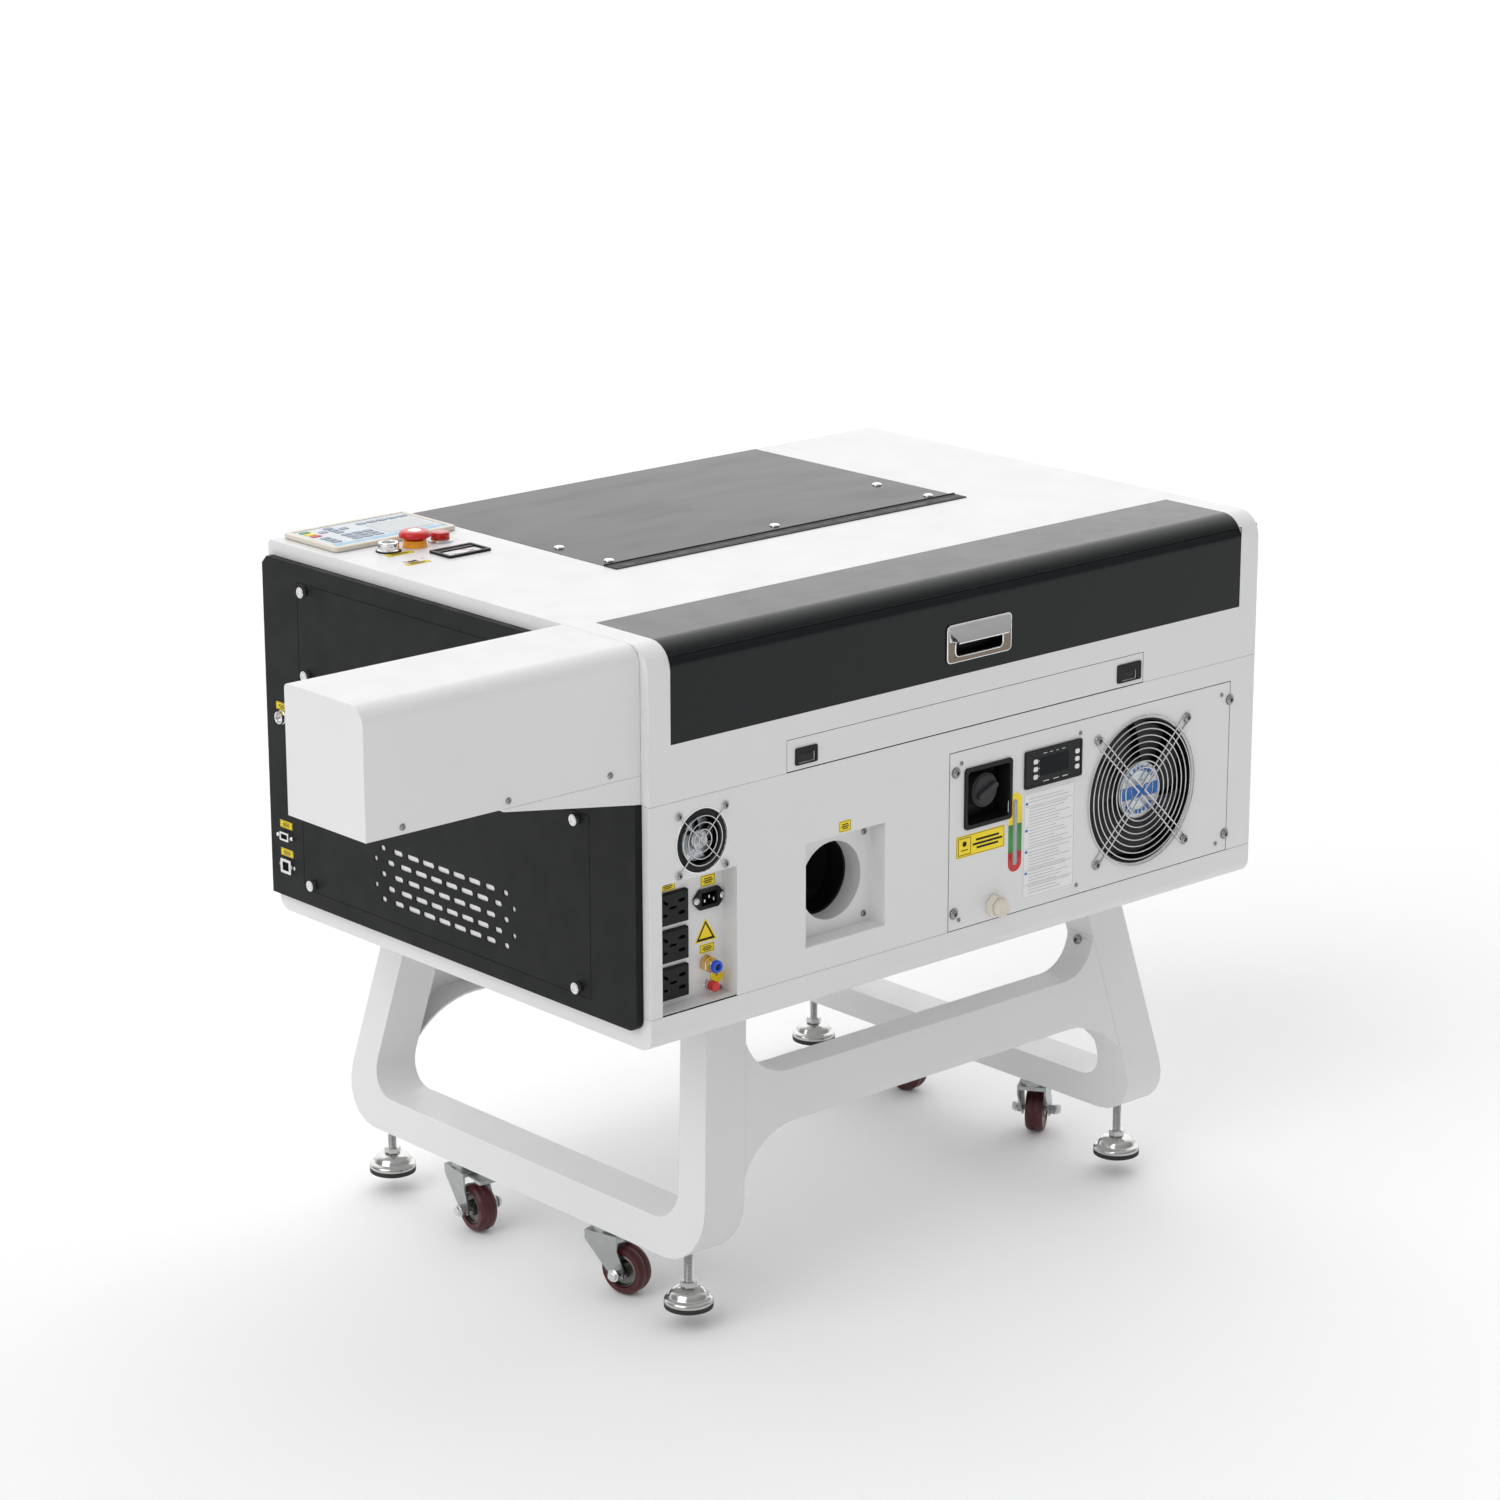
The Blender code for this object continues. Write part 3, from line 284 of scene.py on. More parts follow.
def turned(profile: Sequence[tuple[float, float]], sides: int = 40,
           ring: bool = False, edge: float = 0.0,
           angle: float = 38.0) -> bpy.types.Object:
    """A turned shape, from a disc that is extruded and scaled up its axis.

    Args:
        profile: (radius, height) pairs along its outline.
        sides: Steps round the axis.
        ring: Closes the outline on itself, for a shape with a hole.
        edge: Rounding of its sharp edges.
        angle: Sharpest edge that is shaded smooth, in degrees.

    Returns:
        The new object, round the z axis.
    """
    clear()
    start, height = profile[0]
    bpy.ops.mesh.primitive_circle_add(
        vertices=sides, radius=start, location=(0, 0, height),
        fill_type="NOTHING" if ring else "NGON")
    obj = added()
    path = list(profile[1:]) + ([profile[0]] if ring else [])
    with editing(obj):
        bpy.ops.mesh.select_mode(type="EDGE" if ring else "FACE")
        bpy.ops.mesh.select_all(action="SELECT")
        radius = start
        for wide, high in path:
            bpy.ops.mesh.extrude_region_move(
                TRANSFORM_OT_translate={"value": (0, 0, high - height)})
            if abs(wide - radius) > 1e-6:
                bpy.ops.transform.resize(value=(wide / radius, wide / radius, 1))
            radius, height = wide, high
        bpy.ops.mesh.select_all(action="SELECT")
        bpy.ops.mesh.remove_doubles(threshold=0.002)
        bpy.ops.mesh.normals_make_consistent(inside=False)
    return ease(obj, edge, angle=angle)


def rounded(width: float, height: float, radius: float, x: float = 0.0,
            y: float = 0.0, steps: int = 6) -> Outline:
    """The outline of a rounded rectangle.

    Args:
        width: Its width.
        height: Its height.
        radius: Radius of its corners.
        x: Its middle, across.
        y: Its middle, up.
        steps: Segments round a corner.

    Returns:
        Its points, in order.
    """
    points = []
    for k, (sx, sy) in enumerate(((1, 1), (-1, 1), (-1, -1), (1, -1))):
        for n in range(steps + 1):
            turn = math.pi / 2 * (k + n / steps)
            points.append((x + sx * (width / 2 - radius) + radius * math.cos(turn),
                           y + sy * (height / 2 - radius) + radius * math.sin(turn)))
    return points


def circle(radius: float, x: float = 0.0, y: float = 0.0,
           steps: int = 40, start: float = 0.0) -> Outline:
    """The outline of a circle, or of a polygon with few steps."""
    return [(x + radius * math.cos(start + math.tau * n / steps),
             y + radius * math.sin(start + math.tau * n / steps))
            for n in range(steps)]


def fluted(radius: float, depth: float, flutes: int, steps: int) -> Outline:
    """The outline of a knob with flutes round its edge.

    Args:
        radius: Its middle radius.
        depth: How far the flutes rise above that radius.
        flutes: Number of flutes.
        steps: Points round the knob.

    Returns:
        Its points, in order.
    """
    points = []
    for n in range(steps):
        turn = math.tau * n / steps
        reach = radius + depth * math.cos(turn * flutes)
        points.append((reach * math.cos(turn), reach * math.sin(turn)))
    return points


def plate(outlines: Sequence[Outline], low: float, high: float,
          edge: float = 0.2, steps: int = 2) -> bpy.types.Object:
    """A flat plate with holes, from closed outlines.

    Args:
        outlines: Its outer outline, and one for each hole.
        low: Height of its back.
        high: Height of its front.
        edge: Rounding of its sharp edges.
        steps: Segments across that rounding.

    Returns:
        The new object.
    """
    shape = bpy.data.curves.new("plate", "CURVE")
    shape.dimensions, shape.fill_mode = "2D", "BOTH"
    shape.extrude = (high - low) / 2
    for outline in outlines:
        line = shape.splines.new("POLY")
        line.points.add(len(outline) - 1)
        for point, (x, y) in zip(line.points, outline):
            point.co = (x, y, 0, 1)
        line.use_cyclic_u = True
    obj = bpy.data.objects.new("plate", shape)
    bpy.context.collection.objects.link(obj)
    only(obj)
    bpy.ops.object.convert(target="MESH")
    obj = bpy.context.active_object
    obj.data.transform(Matrix.Translation((0, 0, (low + high) / 2)))
    return ease(tidy(obj), edge, steps)


def wire(points: Sequence[Point], radius: float, closed: bool = False,
         sides: int = 3) -> bpy.types.Object:
    """A round bar along points.

    Args:
        points: Points on its middle line.
        radius: Its radius.
        closed: Joins its ends.
        sides: Bevel resolution round it.

    Returns:
        The new object.
    """
    shape = bpy.data.curves.new("wire", "CURVE")
    shape.dimensions, shape.bevel_depth = "3D", radius
    shape.bevel_resolution, shape.use_fill_caps = sides, True
    line = shape.splines.new("POLY")
    line.points.add(len(points) - 1)
    for point, place in zip(line.points, points):
        point.co = (*place, 1)
    line.use_cyclic_u = closed
    obj = bpy.data.objects.new("wire", shape)
    bpy.context.collection.objects.link(obj)
    only(obj)
    bpy.ops.object.convert(target="MESH")
    return ease(tidy(bpy.context.active_object), 0, angle=50)


def hoop(radius: float, thick: float, height: float = 0.0,
         sides: int = 72) -> bpy.types.Object:
    """A ring of round wire.

    Args:
        radius: Radius of the ring.
        thick: Radius of the wire.
        height: Height of its middle.
        sides: Steps round the ring.

    Returns:
        The new object.
    """
    clear()
    bpy.ops.mesh.primitive_torus_add(
        major_radius=radius, minor_radius=thick, major_segments=sides,
        minor_segments=8, location=(0, 0, height))
    return ease(added(), 0, angle=60)


def joined(objects: Sequence[bpy.types.Object]) -> bpy.types.Object:
    """Joins objects into the first of them.

    Args:
        objects: The objects.

    Returns:
        The first object, which holds them all.
    """
    only(objects[0])
    for obj in objects[1:]:
        obj.select_set(True)
    if len(objects) > 1:
        bpy.ops.object.join()
    return objects[0]


def moved(obj: bpy.types.Object, place: Matrix) -> bpy.types.Object:
    """Applies a place to a mesh."""
    obj.data.transform(place)
    return obj


def shifted(obj: bpy.types.Object, x: float = 0.0, y: float = 0.0,
            z: float = 0.0) -> bpy.types.Object:
    """Moves a mesh."""
    return moved(obj, Matrix.Translation((x, y, z)))


def copies(template: bpy.types.Object,
           places: Iterable[Matrix]) -> bpy.types.Object:
    """Sets copies of one shape at many places, as one mesh.

    Args:
        template: The shape, which is used up.
        places: Where the copies go.

    Returns:
        The copies as one object.
    """
    made = []
    for place in places:
        obj = bpy.data.objects.new("copy", template.data.copy())
        bpy.context.collection.objects.link(obj)
        made.append(moved(obj, place))
    bpy.data.objects.remove(template)
    return joined(made)


def twin(template: bpy.types.Object) -> bpy.types.Object:
    """Copies an object with its own mesh.

    Args:
        template: The object.

    Returns:
        The copy.
    """
    obj = bpy.data.objects.new(template.name, template.data.copy())
    bpy.context.collection.objects.link(obj)
    return obj


def cut(obj: bpy.types.Object, tool: bpy.types.Object) -> bpy.types.Object:
    """Cuts one object out of another.

    Args:
        obj: The object that is cut.
        tool: The cutter, which is used up.

    Returns:
        The cut object.
    """
    apply(obj, "BOOLEAN", object=tool, operation="DIFFERENCE", solver="EXACT")
    bpy.data.objects.remove(tool)
    return obj


def node_copy(node: str) -> bpy.types.Object:
    """Copies a frame node's shape.

    Args:
        node: The frame node.

    Returns:
        A merged copy in machine millimetres.
    """
    source = frame["nodes"][node]
    obj = bpy.data.objects.new(f"{node}_skin", source.data.copy())
    bpy.context.collection.objects.link(obj)
    moved(obj, machine().inverted())
    with editing(obj):
        bpy.ops.mesh.select_all(action="SELECT")
        bpy.ops.mesh.remove_doubles(threshold=0.003)
        bpy.ops.mesh.tris_convert_to_quads(face_threshold=0.01,
                                           shape_threshold=0.6)
    return obj


def node_box(node: str) -> tuple[Vector, Vector]:
    """Returns a frame node's lowest and highest corners in millimetres."""
    low, high = (machine().inverted() @ Vector(end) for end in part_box(node))
    return low, high


def sunk(obj: bpy.types.Object, rim: float, depth: float, least: float = 0.0,
         taper: float = 1.0) -> bpy.types.Object:
    """Sinks the front face of a plate inside a rim.

    Args:
        obj: The plate.
        rim: Width of the rim that stays.
        depth: How far the face sinks.
        least: Area above which a face is sunk.
        taper: Size of the sunk face against its mouth.

    Returns:
        The same object.
    """
    with editing(obj):
        choose(obj, Kind.FACE, lambda f: f.normal.z > 0.98
               and f.calc_area() > least)
        bpy.ops.mesh.inset(thickness=rim)
        bpy.ops.mesh.extrude_region_move(
            TRANSFORM_OT_translate={"value": (0, 0, -depth)})
        if taper != 1.0:
            bpy.ops.transform.resize(value=(taper, taper, 1))
    return obj


def corners(place: Matrix, pitch: float, height: float) -> list[Matrix]:
    """Returns the four corners of a square of half-width pitch on a place."""
    return [place @ Matrix.Translation((across * pitch, up * pitch, height))
            for across in (-1, 1) for up in (-1, 1)]


def film(*outlines: Outline) -> bpy.types.Object:
    """A thin film stuck on a face."""
    return plate(outlines, 0.05, 0.3, 0)


def ink(*outlines: Outline) -> bpy.types.Object:
    """Print on top of a film."""
    return plate(outlines, 0.3, 0.42, 0)


def srgb(red: float, green: float, blue: float) -> tuple[float, float, float]:
    """Returns the linear colour of a display colour given in 0 to 255."""
    return tuple((v / 3294.6 if v <= 10 else ((v / 255 + 0.055) / 1.055) ** 2.4)
                 for v in (red, green, blue))


class Graph:
    """The nodes of one material."""

    def __init__(self, name: str) -> None:
        """Starts a material with its shader and its Object coordinates.

        Args:
            name: The material's name.
        """
        self.material = bpy.data.materials.new(name)
        self.material.use_nodes = True
        self.tree = self.material.node_tree
        self.shader = self.tree.nodes["Principled BSDF"]
        self.place = self.tree.nodes.new("ShaderNodeTexCoord").outputs["Object"]

    def set(self, **values: object) -> None:
        """Sets the shader's own sockets; an underscore stands for a space."""
        for name, value in values.items():
            self.shader.inputs[name.replace("_", " ")].default_value = value

    def noise(self, scale: float, detail: float = 3.0,
              stretch: Point = (1, 1, 1)) -> bpy.types.NodeSocket:
        """Adds noise.

        Args:
            scale: Waves a metre.
            detail: How fine it is.
            stretch: Scale along each axis.

        Returns:
            The noise, from 0 to 1.
        """
        mapping = self.tree.nodes.new("ShaderNodeMapping")
        mapping.inputs["Scale"].default_value = stretch
        self.tree.links.new(self.place, mapping.inputs["Vector"])
        node = self.tree.nodes.new("ShaderNodeTexNoise")
        node.inputs["Scale"].default_value = scale
        node.inputs["Detail"].default_value = detail
        self.tree.links.new(mapping.outputs["Vector"], node.inputs["Vector"])
        return node.outputs["Fac"]

    def spread(self, source: bpy.types.NodeSocket, low: float,
               high: float, start: float = 0.35,
               end: float = 0.65) -> bpy.types.NodeSocket:
        """Maps the middle of a value to a new range.

        Args:
            source: The value.
            low: The new range's start.
            high: The new range's end.
            start: Where the old range starts.
            end: Where the old range ends.

        Returns:
            The mapped value.
        """
        node = self.tree.nodes.new("ShaderNodeMapRange")
        for socket, value in zip(("From Min", "From Max", "To Min", "To Max"),
                                 (start, end, low, high)):
            node.inputs[socket].default_value = value
        self.tree.links.new(source, node.inputs["Value"])
        return node.outputs["Result"]

    def mix(self, factor: bpy.types.NodeSocket, first: Point,
            second: Point) -> bpy.types.NodeSocket:
        """Mixes two colours.

        Args:
            factor: Share of the second colour.
            first: The first colour.
            second: The second colour.

        Returns:
            The mixed colour.
        """
        node = self.tree.nodes.new("ShaderNodeMix")
        node.data_type = "RGBA"
        node.inputs[6].default_value = (*first, 1)
        node.inputs[7].default_value = (*second, 1)
        self.tree.links.new(factor, node.inputs[0])
        return node.outputs[2]

    def link(self, source: bpy.types.NodeSocket, socket: str) -> None:
        """Feeds one of the shader's sockets."""
        self.tree.links.new(source, self.shader.inputs[socket])

    def bump(self, height: bpy.types.NodeSocket, depth: float,
             strength: float = 0.5) -> None:
        """Adds relief.

        Args:
            height: The relief's shape, from 0 to 1.
            depth: Its depth in metres.
            strength: How much of it shows.
        """
        node = self.tree.nodes.new("ShaderNodeBump")
        node.inputs["Strength"].default_value = strength
        node.inputs["Distance"].default_value = depth
        self.tree.links.new(height, node.inputs["Height"])
        self.link(node.outputs["Normal"], "Normal")


@dataclass(frozen=True)
class Finish:
    """A finish: its name, the record's slot, its colour and its gloss."""

    name: str
    slot: str
    tint: tuple[float, float, float]
    rough: float = 0.4

    def material(self) -> bpy.types.Material:
        """Makes the material, the first time it is asked for.

        Returns:
            The material.
        """
        made = bpy.data.materials.get(self.name)
        if made is None:
            graph = Graph(self.name)
            self.dress(graph)
            made = graph.material
        return made

    def shade(self, factor: float) -> tuple[float, float, float]:
        """Returns the colour, lighter or darker by a factor."""
        return tuple(min(1.0, v * factor) for v in self.tint)

    def dull(self, graph: Graph, shine: float) -> None:
        """Lowers the shine of a dark finish."""
        if max(self.tint) < DARK:
            graph.set(Specular_IOR_Level=shine)

    def dress(self, graph: Graph) -> None:
        """Builds the nodes of a plain moulded surface.

        Args:
            graph: The material's nodes.
        """
        self.dull(graph, 0.2)
        cloudy = graph.noise(14)
        graph.link(graph.mix(cloudy, self.shade(0.93), self.shade(1.06)),
                   "Base Color")
        graph.link(graph.spread(graph.noise(60), self.rough * 0.85,
                                self.rough * 1.2), "Roughness")


@dataclass(frozen=True)
class PowderCoat(Finish):
    """Baked powder coat with fine orange peel and faint handling marks."""

    peel: float = 0.00006
    waves: float = 900.0
    marks: float = 0.025
    coat: float = 0.0

    def dress(self, graph: Graph) -> None:
        """Builds the orange peel, the mottle and the rubbed patches.

        Args:
            graph: The material's nodes.
        """
        wide, fine = graph.noise(5, 5), graph.noise(self.waves, 2)
        graph.link(graph.mix(wide, self.shade(1 - self.marks),
                             self.shade(1 + self.marks)), "Base Color")
        graph.link(graph.spread(graph.noise(26, 6), self.rough * 0.86,
                                self.rough * 1.16), "Roughness")
        graph.bump(fine, self.peel, 0.35)
        self.dull(graph, 0.17)
        if self.coat:
            graph.set(Coat_Weight=self.coat, Coat_Roughness=0.12)


@dataclass(frozen=True)
class Sheet(Finish):
    """Smooth dark sheet with a deep gloss and faint wipe marks."""

    def dress(self, graph: Graph) -> None:
        """Builds the gloss and the wipe marks.

        Args:
            graph: The material's nodes.
        """
        graph.link(graph.mix(graph.noise(4), self.shade(0.85),
                             self.shade(1.15)), "Base Color")
        wiped = graph.noise(7, 6, (1, 3, 1))
        graph.link(graph.spread(wiped, self.rough * 0.7, self.rough * 1.4),
                   "Roughness")
        graph.set(Specular_IOR_Level=0.11)


@dataclass(frozen=True)
class Metal(Finish):
    """Bare or plated metal with brushing along one axis."""

    brush: tuple[float, float, float] = (1, 1, 1)
    waves: float = 400.0
    depth: float = 0.00002

    def dress(self, graph: Graph) -> None:
        """Builds the brushing, the tarnish and the relief.

        Args:
            graph: The material's nodes.
        """
        lines = graph.noise(self.waves, 3, self.brush)
        graph.link(graph.mix(graph.noise(40, 4), self.shade(0.88),
                             self.shade(1.05)), "Base Color")
        graph.link(graph.spread(lines, self.rough * 0.75, self.rough * 1.3),
                   "Roughness")
        graph.bump(lines, self.depth, 0.3)
        graph.set(Metallic=1.0)


@dataclass(frozen=True)
class Clear(Finish):
    """Clear glass or tinted clear plastic."""

    through: float = 0.9

    def dress(self, graph: Graph) -> None:
        """Builds the tint and the faint unevenness of its surface.

        Args:
            graph: The material's nodes.
        """
        graph.link(graph.mix(graph.noise(20), self.shade(0.96),
                             self.shade(1.03)), "Base Color")
        graph.link(graph.spread(graph.noise(30), self.rough,
                                self.rough * 2), "Roughness")
        graph.set(Transmission_Weight=self.through, IOR=1.47)


@dataclass(frozen=True)
class Rubber(Finish):
    """Moulded rubber or tread with scuffs."""

    def dress(self, graph: Graph) -> None:
        """Builds the scuffs and the dust.

        Args:
            graph: The material's nodes.
        """
        scuffs = graph.noise(120, 6)
        graph.link(graph.mix(graph.spread(scuffs, 0, 1), self.shade(0.8),
                             self.shade(1.35)), "Base Color")
        graph.link(graph.spread(scuffs, self.rough, self.rough * 1.25),
                   "Roughness")
        graph.bump(graph.noise(500), 0.0001, 0.4)


@dataclass(frozen=True)
class Holes(Metal):
    """Honeycomb: cells painted near-black for the shade down the open cells, in a thin bright
    web.
    """

    cells: float = 130.0

    def dress(self, graph: Graph) -> None:
        """Builds the cells from the distance to their edges.

        Args:
            graph: The material's nodes.
        """
        node = graph.tree.nodes.new("ShaderNodeTexVoronoi")
        node.feature = "DISTANCE_TO_EDGE"
        node.inputs["Scale"].default_value = self.cells
        node.inputs["Randomness"].default_value = 0.12
        graph.tree.links.new(graph.place, node.inputs["Vector"])
        web = graph.spread(node.outputs["Distance"], 1, 0, 0.05, 0.11)
        # Near-black cells: painted shade down the open cells.
        graph.link(graph.mix(web, self.shade(0.03), self.tint), "Base Color")
        graph.link(graph.spread(graph.noise(90), self.rough,
                                self.rough * 1.3), "Roughness")
        graph.bump(web, 0.002, 0.8)
        graph.set(Metallic=0.9)


WHITE = PowderCoat("white_coat", "white_paint", (0.765, 0.765, 0.77), 0.42)
BLACK = PowderCoat("black_coat", "black_paint", (0.0065, 0.0075, 0.0085), 0.42,
                   peel=0.00009, waves=700, marks=0.06)
GLOSS_BLACK = PowderCoat("gloss_black_coat", "black_paint",
                         (0.0065, 0.0078, 0.0088), 0.21, peel=0.00003,
                         waves=500, marks=0.05, coat=0.12)
SMOKED = Sheet("smoked_sheet", "smoked_panel", (0.012, 0.0108, 0.0105), 0.16)
DARK_GLASS = Sheet("dark_display", "black_plastic", (0.006, 0.007, 0.009), 0.09)
CHROME = Metal("polished_chrome", "chrome", (0.83, 0.83, 0.84), 0.08,
               waves=60, depth=0.000004)
SATIN_CHROME = Metal("satin_chrome", "chrome", (0.74, 0.74, 0.75), 0.22,
                     waves=200, depth=0.00001)
ZINC = Metal("zinc_plate", "zinc", (0.44, 0.46, 0.455), 0.30, waves=45,
             depth=0.000003)
ALUMINIUM = Metal("anodised_aluminium", "aluminium", (0.72, 0.73, 0.75), 0.36,
                  brush=(0.04, 1, 1), waves=900)
STEEL = Metal("ground_steel", "steel", (0.46, 0.47, 0.48), 0.30,
              brush=(1, 0.05, 1), waves=900)
BRASS = Metal("machined_brass", "brass", (0.78, 0.56, 0.24), 0.20, waves=700)
PLASTIC = Finish("black_moulding", "black_plastic", (0.009, 0.009, 0.0095), 0.36)
INSIDE = Finish("unlit_inside", "black_plastic", (0.006, 0.006, 0.006), 0.8)
GREY_BLACK = Finish("grey_black_moulding", "black_plastic",
                    (0.045, 0.045, 0.048), 0.5)
CREAM = Finish("cream_moulding", "cream_plastic", srgb(222, 214, 200), 0.38)
PALE = Finish("white_moulding", "white_plastic", (0.80, 0.80, 0.78), 0.36)
PAPER = Finish("paper_label", "white_plastic", (0.84, 0.84, 0.84), 0.6)
INK_GREY = Finish("grey_print", "white_plastic", (0.36, 0.37, 0.38), 0.6)
INK = Finish("black_print", "black_plastic", (0.012, 0.012, 0.012), 0.5)
YELLOW = Finish("yellow_label", "cream_plastic", srgb(254, 222, 8), 0.42)
GREEN = Finish("green_print", "white_plastic", srgb(60, 150, 70), 0.4)
BLUE = Finish("blue_print", "white_plastic", srgb(40, 110, 190), 0.4)
BLUE_MOULDED = Finish("blue_moulding", "white_plastic", srgb(25, 80, 205), 0.3)
SKY = Finish("light_blue_print", "white_plastic", srgb(150, 190, 215), 0.4)
RED = Finish("red_moulding", "red_plastic", (0.62, 0.012, 0.012), 0.25)
RED_PRINT = Finish("red_print", "red_plastic", (0.6, 0.02, 0.015), 0.4)
ORANGE = Finish("orange_moulding", "cream_plastic", srgb(245, 165, 30), 0.38)
RED_CLEAR = Clear("red_lens", "red_plastic", (0.75, 0.03, 0.03), 0.08, 0.35)
GLASS = Clear("tube_glass_clear", "tube_glass", (0.86, 0.94, 0.95), 0.02)
CLEAR_CAP = Clear("clear_collar", "tube_glass", (0.85, 0.87, 0.86), 0.10, 0.6)
TREAD = Rubber("red_tread", "red_tyre", (0.062, 0.006, 0.008), 0.36)
RUBBER = Rubber("black_rubber", "black_plastic", (0.018, 0.018, 0.018), 0.62)
# Chrome darkened to paint the darker reflections on the foot bells and the laser bezel.
FOOT_CHROME = Metal("foot_chrome", "chrome", (0.56, 0.56, 0.55), 0.13,
                    waves=40, depth=0.000004)
HUB_GREY = Metal("hub_metal", "zinc", (0.20, 0.20, 0.19), 0.34, waves=80,
                 depth=0.000005)
# Chrome darkened and warmed to paint the shade in the handle's hollow under the hood: a shaded
# copy of the chrome.
RECESS_SHADED_CHROME = Metal("warm_chrome", "chrome", (0.20, 0.165, 0.135), 0.16,
                      waves=60, depth=0.000004)
# Steel tint darkened to paint dark reflections on the screw heads, which the pale surround alone
# would leave almost white.
SCREW_STEEL = Metal("dark_screw_steel", "steel", (0.34, 0.33, 0.33), 0.20,
                    waves=200, depth=0.00001)
# Chrome darkened to paint the darker reflections along the fan guard wires.
WIRE_CHROME = Metal("wire_chrome", "chrome", (0.62, 0.62, 0.63), 0.16,
                    waves=120, depth=0.000006)
DISC_METAL = Metal("fan_disc_metal", "aluminium", (0.56, 0.59, 0.62), 0.34,
                   waves=300)
OVERLAY = Finish("keypad_overlay_print", "cream_plastic", srgb(208, 214, 220), 0.35)
KEY_GREY = Finish("key_grey_print", "white_plastic", srgb(142, 153, 170), 0.4)
SCREEN = Finish("keypad_screen_print", "white_plastic", srgb(176, 181, 182), 0.2)
GREY_GREEN = Finish("grey_green_moulding", "white_plastic", srgb(120, 130, 120), 0.4)
HONEYCOMB = Holes("honeycomb_web", "aluminium", (0.70, 0.71, 0.72), 0.34)


def put(obj: bpy.types.Object, name: str, finish: Finish, body: str = ROOT,
        place: Matrix | None = None,
        stands_for: Sequence[str] = ()) -> bpy.types.Object:
    """Seats a finished shape, dresses it and fixes it to a body.

    Args:
        obj: The shape, in millimetres.
        name: The piece's name.
        finish: Its finish.
        body: The body that it moves with.
        place: Where a flat-built fitting goes.
        stands_for: Frame nodes that it replaces.

    Returns:
        The piece.
    """
    obj.data.transform(machine() @ (place or Matrix()))
    obj.name = obj.data.name = name
    obj.data.materials.clear()
    obj.data.materials.append(finish.material())
    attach(obj, body)
    if stands_for:
        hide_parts(*stands_for)
    LOG.info("%s: %d faces, %s, on %s", name, len(obj.data.polygons),
             finish.name, body)
    return obj


def skin(node: str, finish: Finish, edge: float = 0.6, body: str = ROOT,
         steps: int = 2) -> bpy.types.Object:
    """Replaces a frame node by a copy of it with rounded edges.

    Args:
        node: The frame node.
        finish: Its finish.
        edge: Width of the rounding.
        body: The body that it moves with.
        steps: Segments across the rounding.

    Returns:
        The piece.
    """
    obj = ease(node_copy(node), edge, steps)
    return put(obj, f"{node}_shell", finish, body, stands_for=(node,))


class Socket(Enum):
    """What drives a screw."""

    HEX = 6
    CROSS = 4


def screw(radius: float, rise: float, socket: Socket = Socket.HEX,
          washer: float = 0.0) -> bpy.types.Object:
    """A domed screw head with its socket, standing on z = 0.

    Args:
        radius: Radius of the head.
        rise: Height of the dome.
        socket: What drives it.
        washer: Radius of a washer below it, or 0.

    Returns:
        The new object.
    """
    head = turned([(radius, -0.6), (radius, 0.25 * rise), (0.94 * radius, 0.55 * rise),
                   (0.80 * radius, 0.82 * rise), (0.60 * radius, rise),
                   (0.3 * radius, 1.02 * rise)], 28, angle=45)
    deep = (0.35 * rise, rise * 1.5)
    if socket is Socket.HEX:
        tool = plate([circle(0.46 * radius, steps=6)], *deep, edge=0)
        head = cut(head, tool)
    else:
        for spin in (0, math.pi / 2):
            arm = plate([rounded(1.1 * radius, 0.24 * radius, 0.02)], *deep,
                        edge=0)
            head = cut(head, moved(arm, Matrix.Rotation(spin, 4, "Z")))
    ease(head, 0, angle=45)
    if washer:
        head = joined([shifted(head, z=0.5), turned(
            [(washer, -0.5), (washer, 0.6), (washer * 0.96, 0.8)], 32)])
    return head


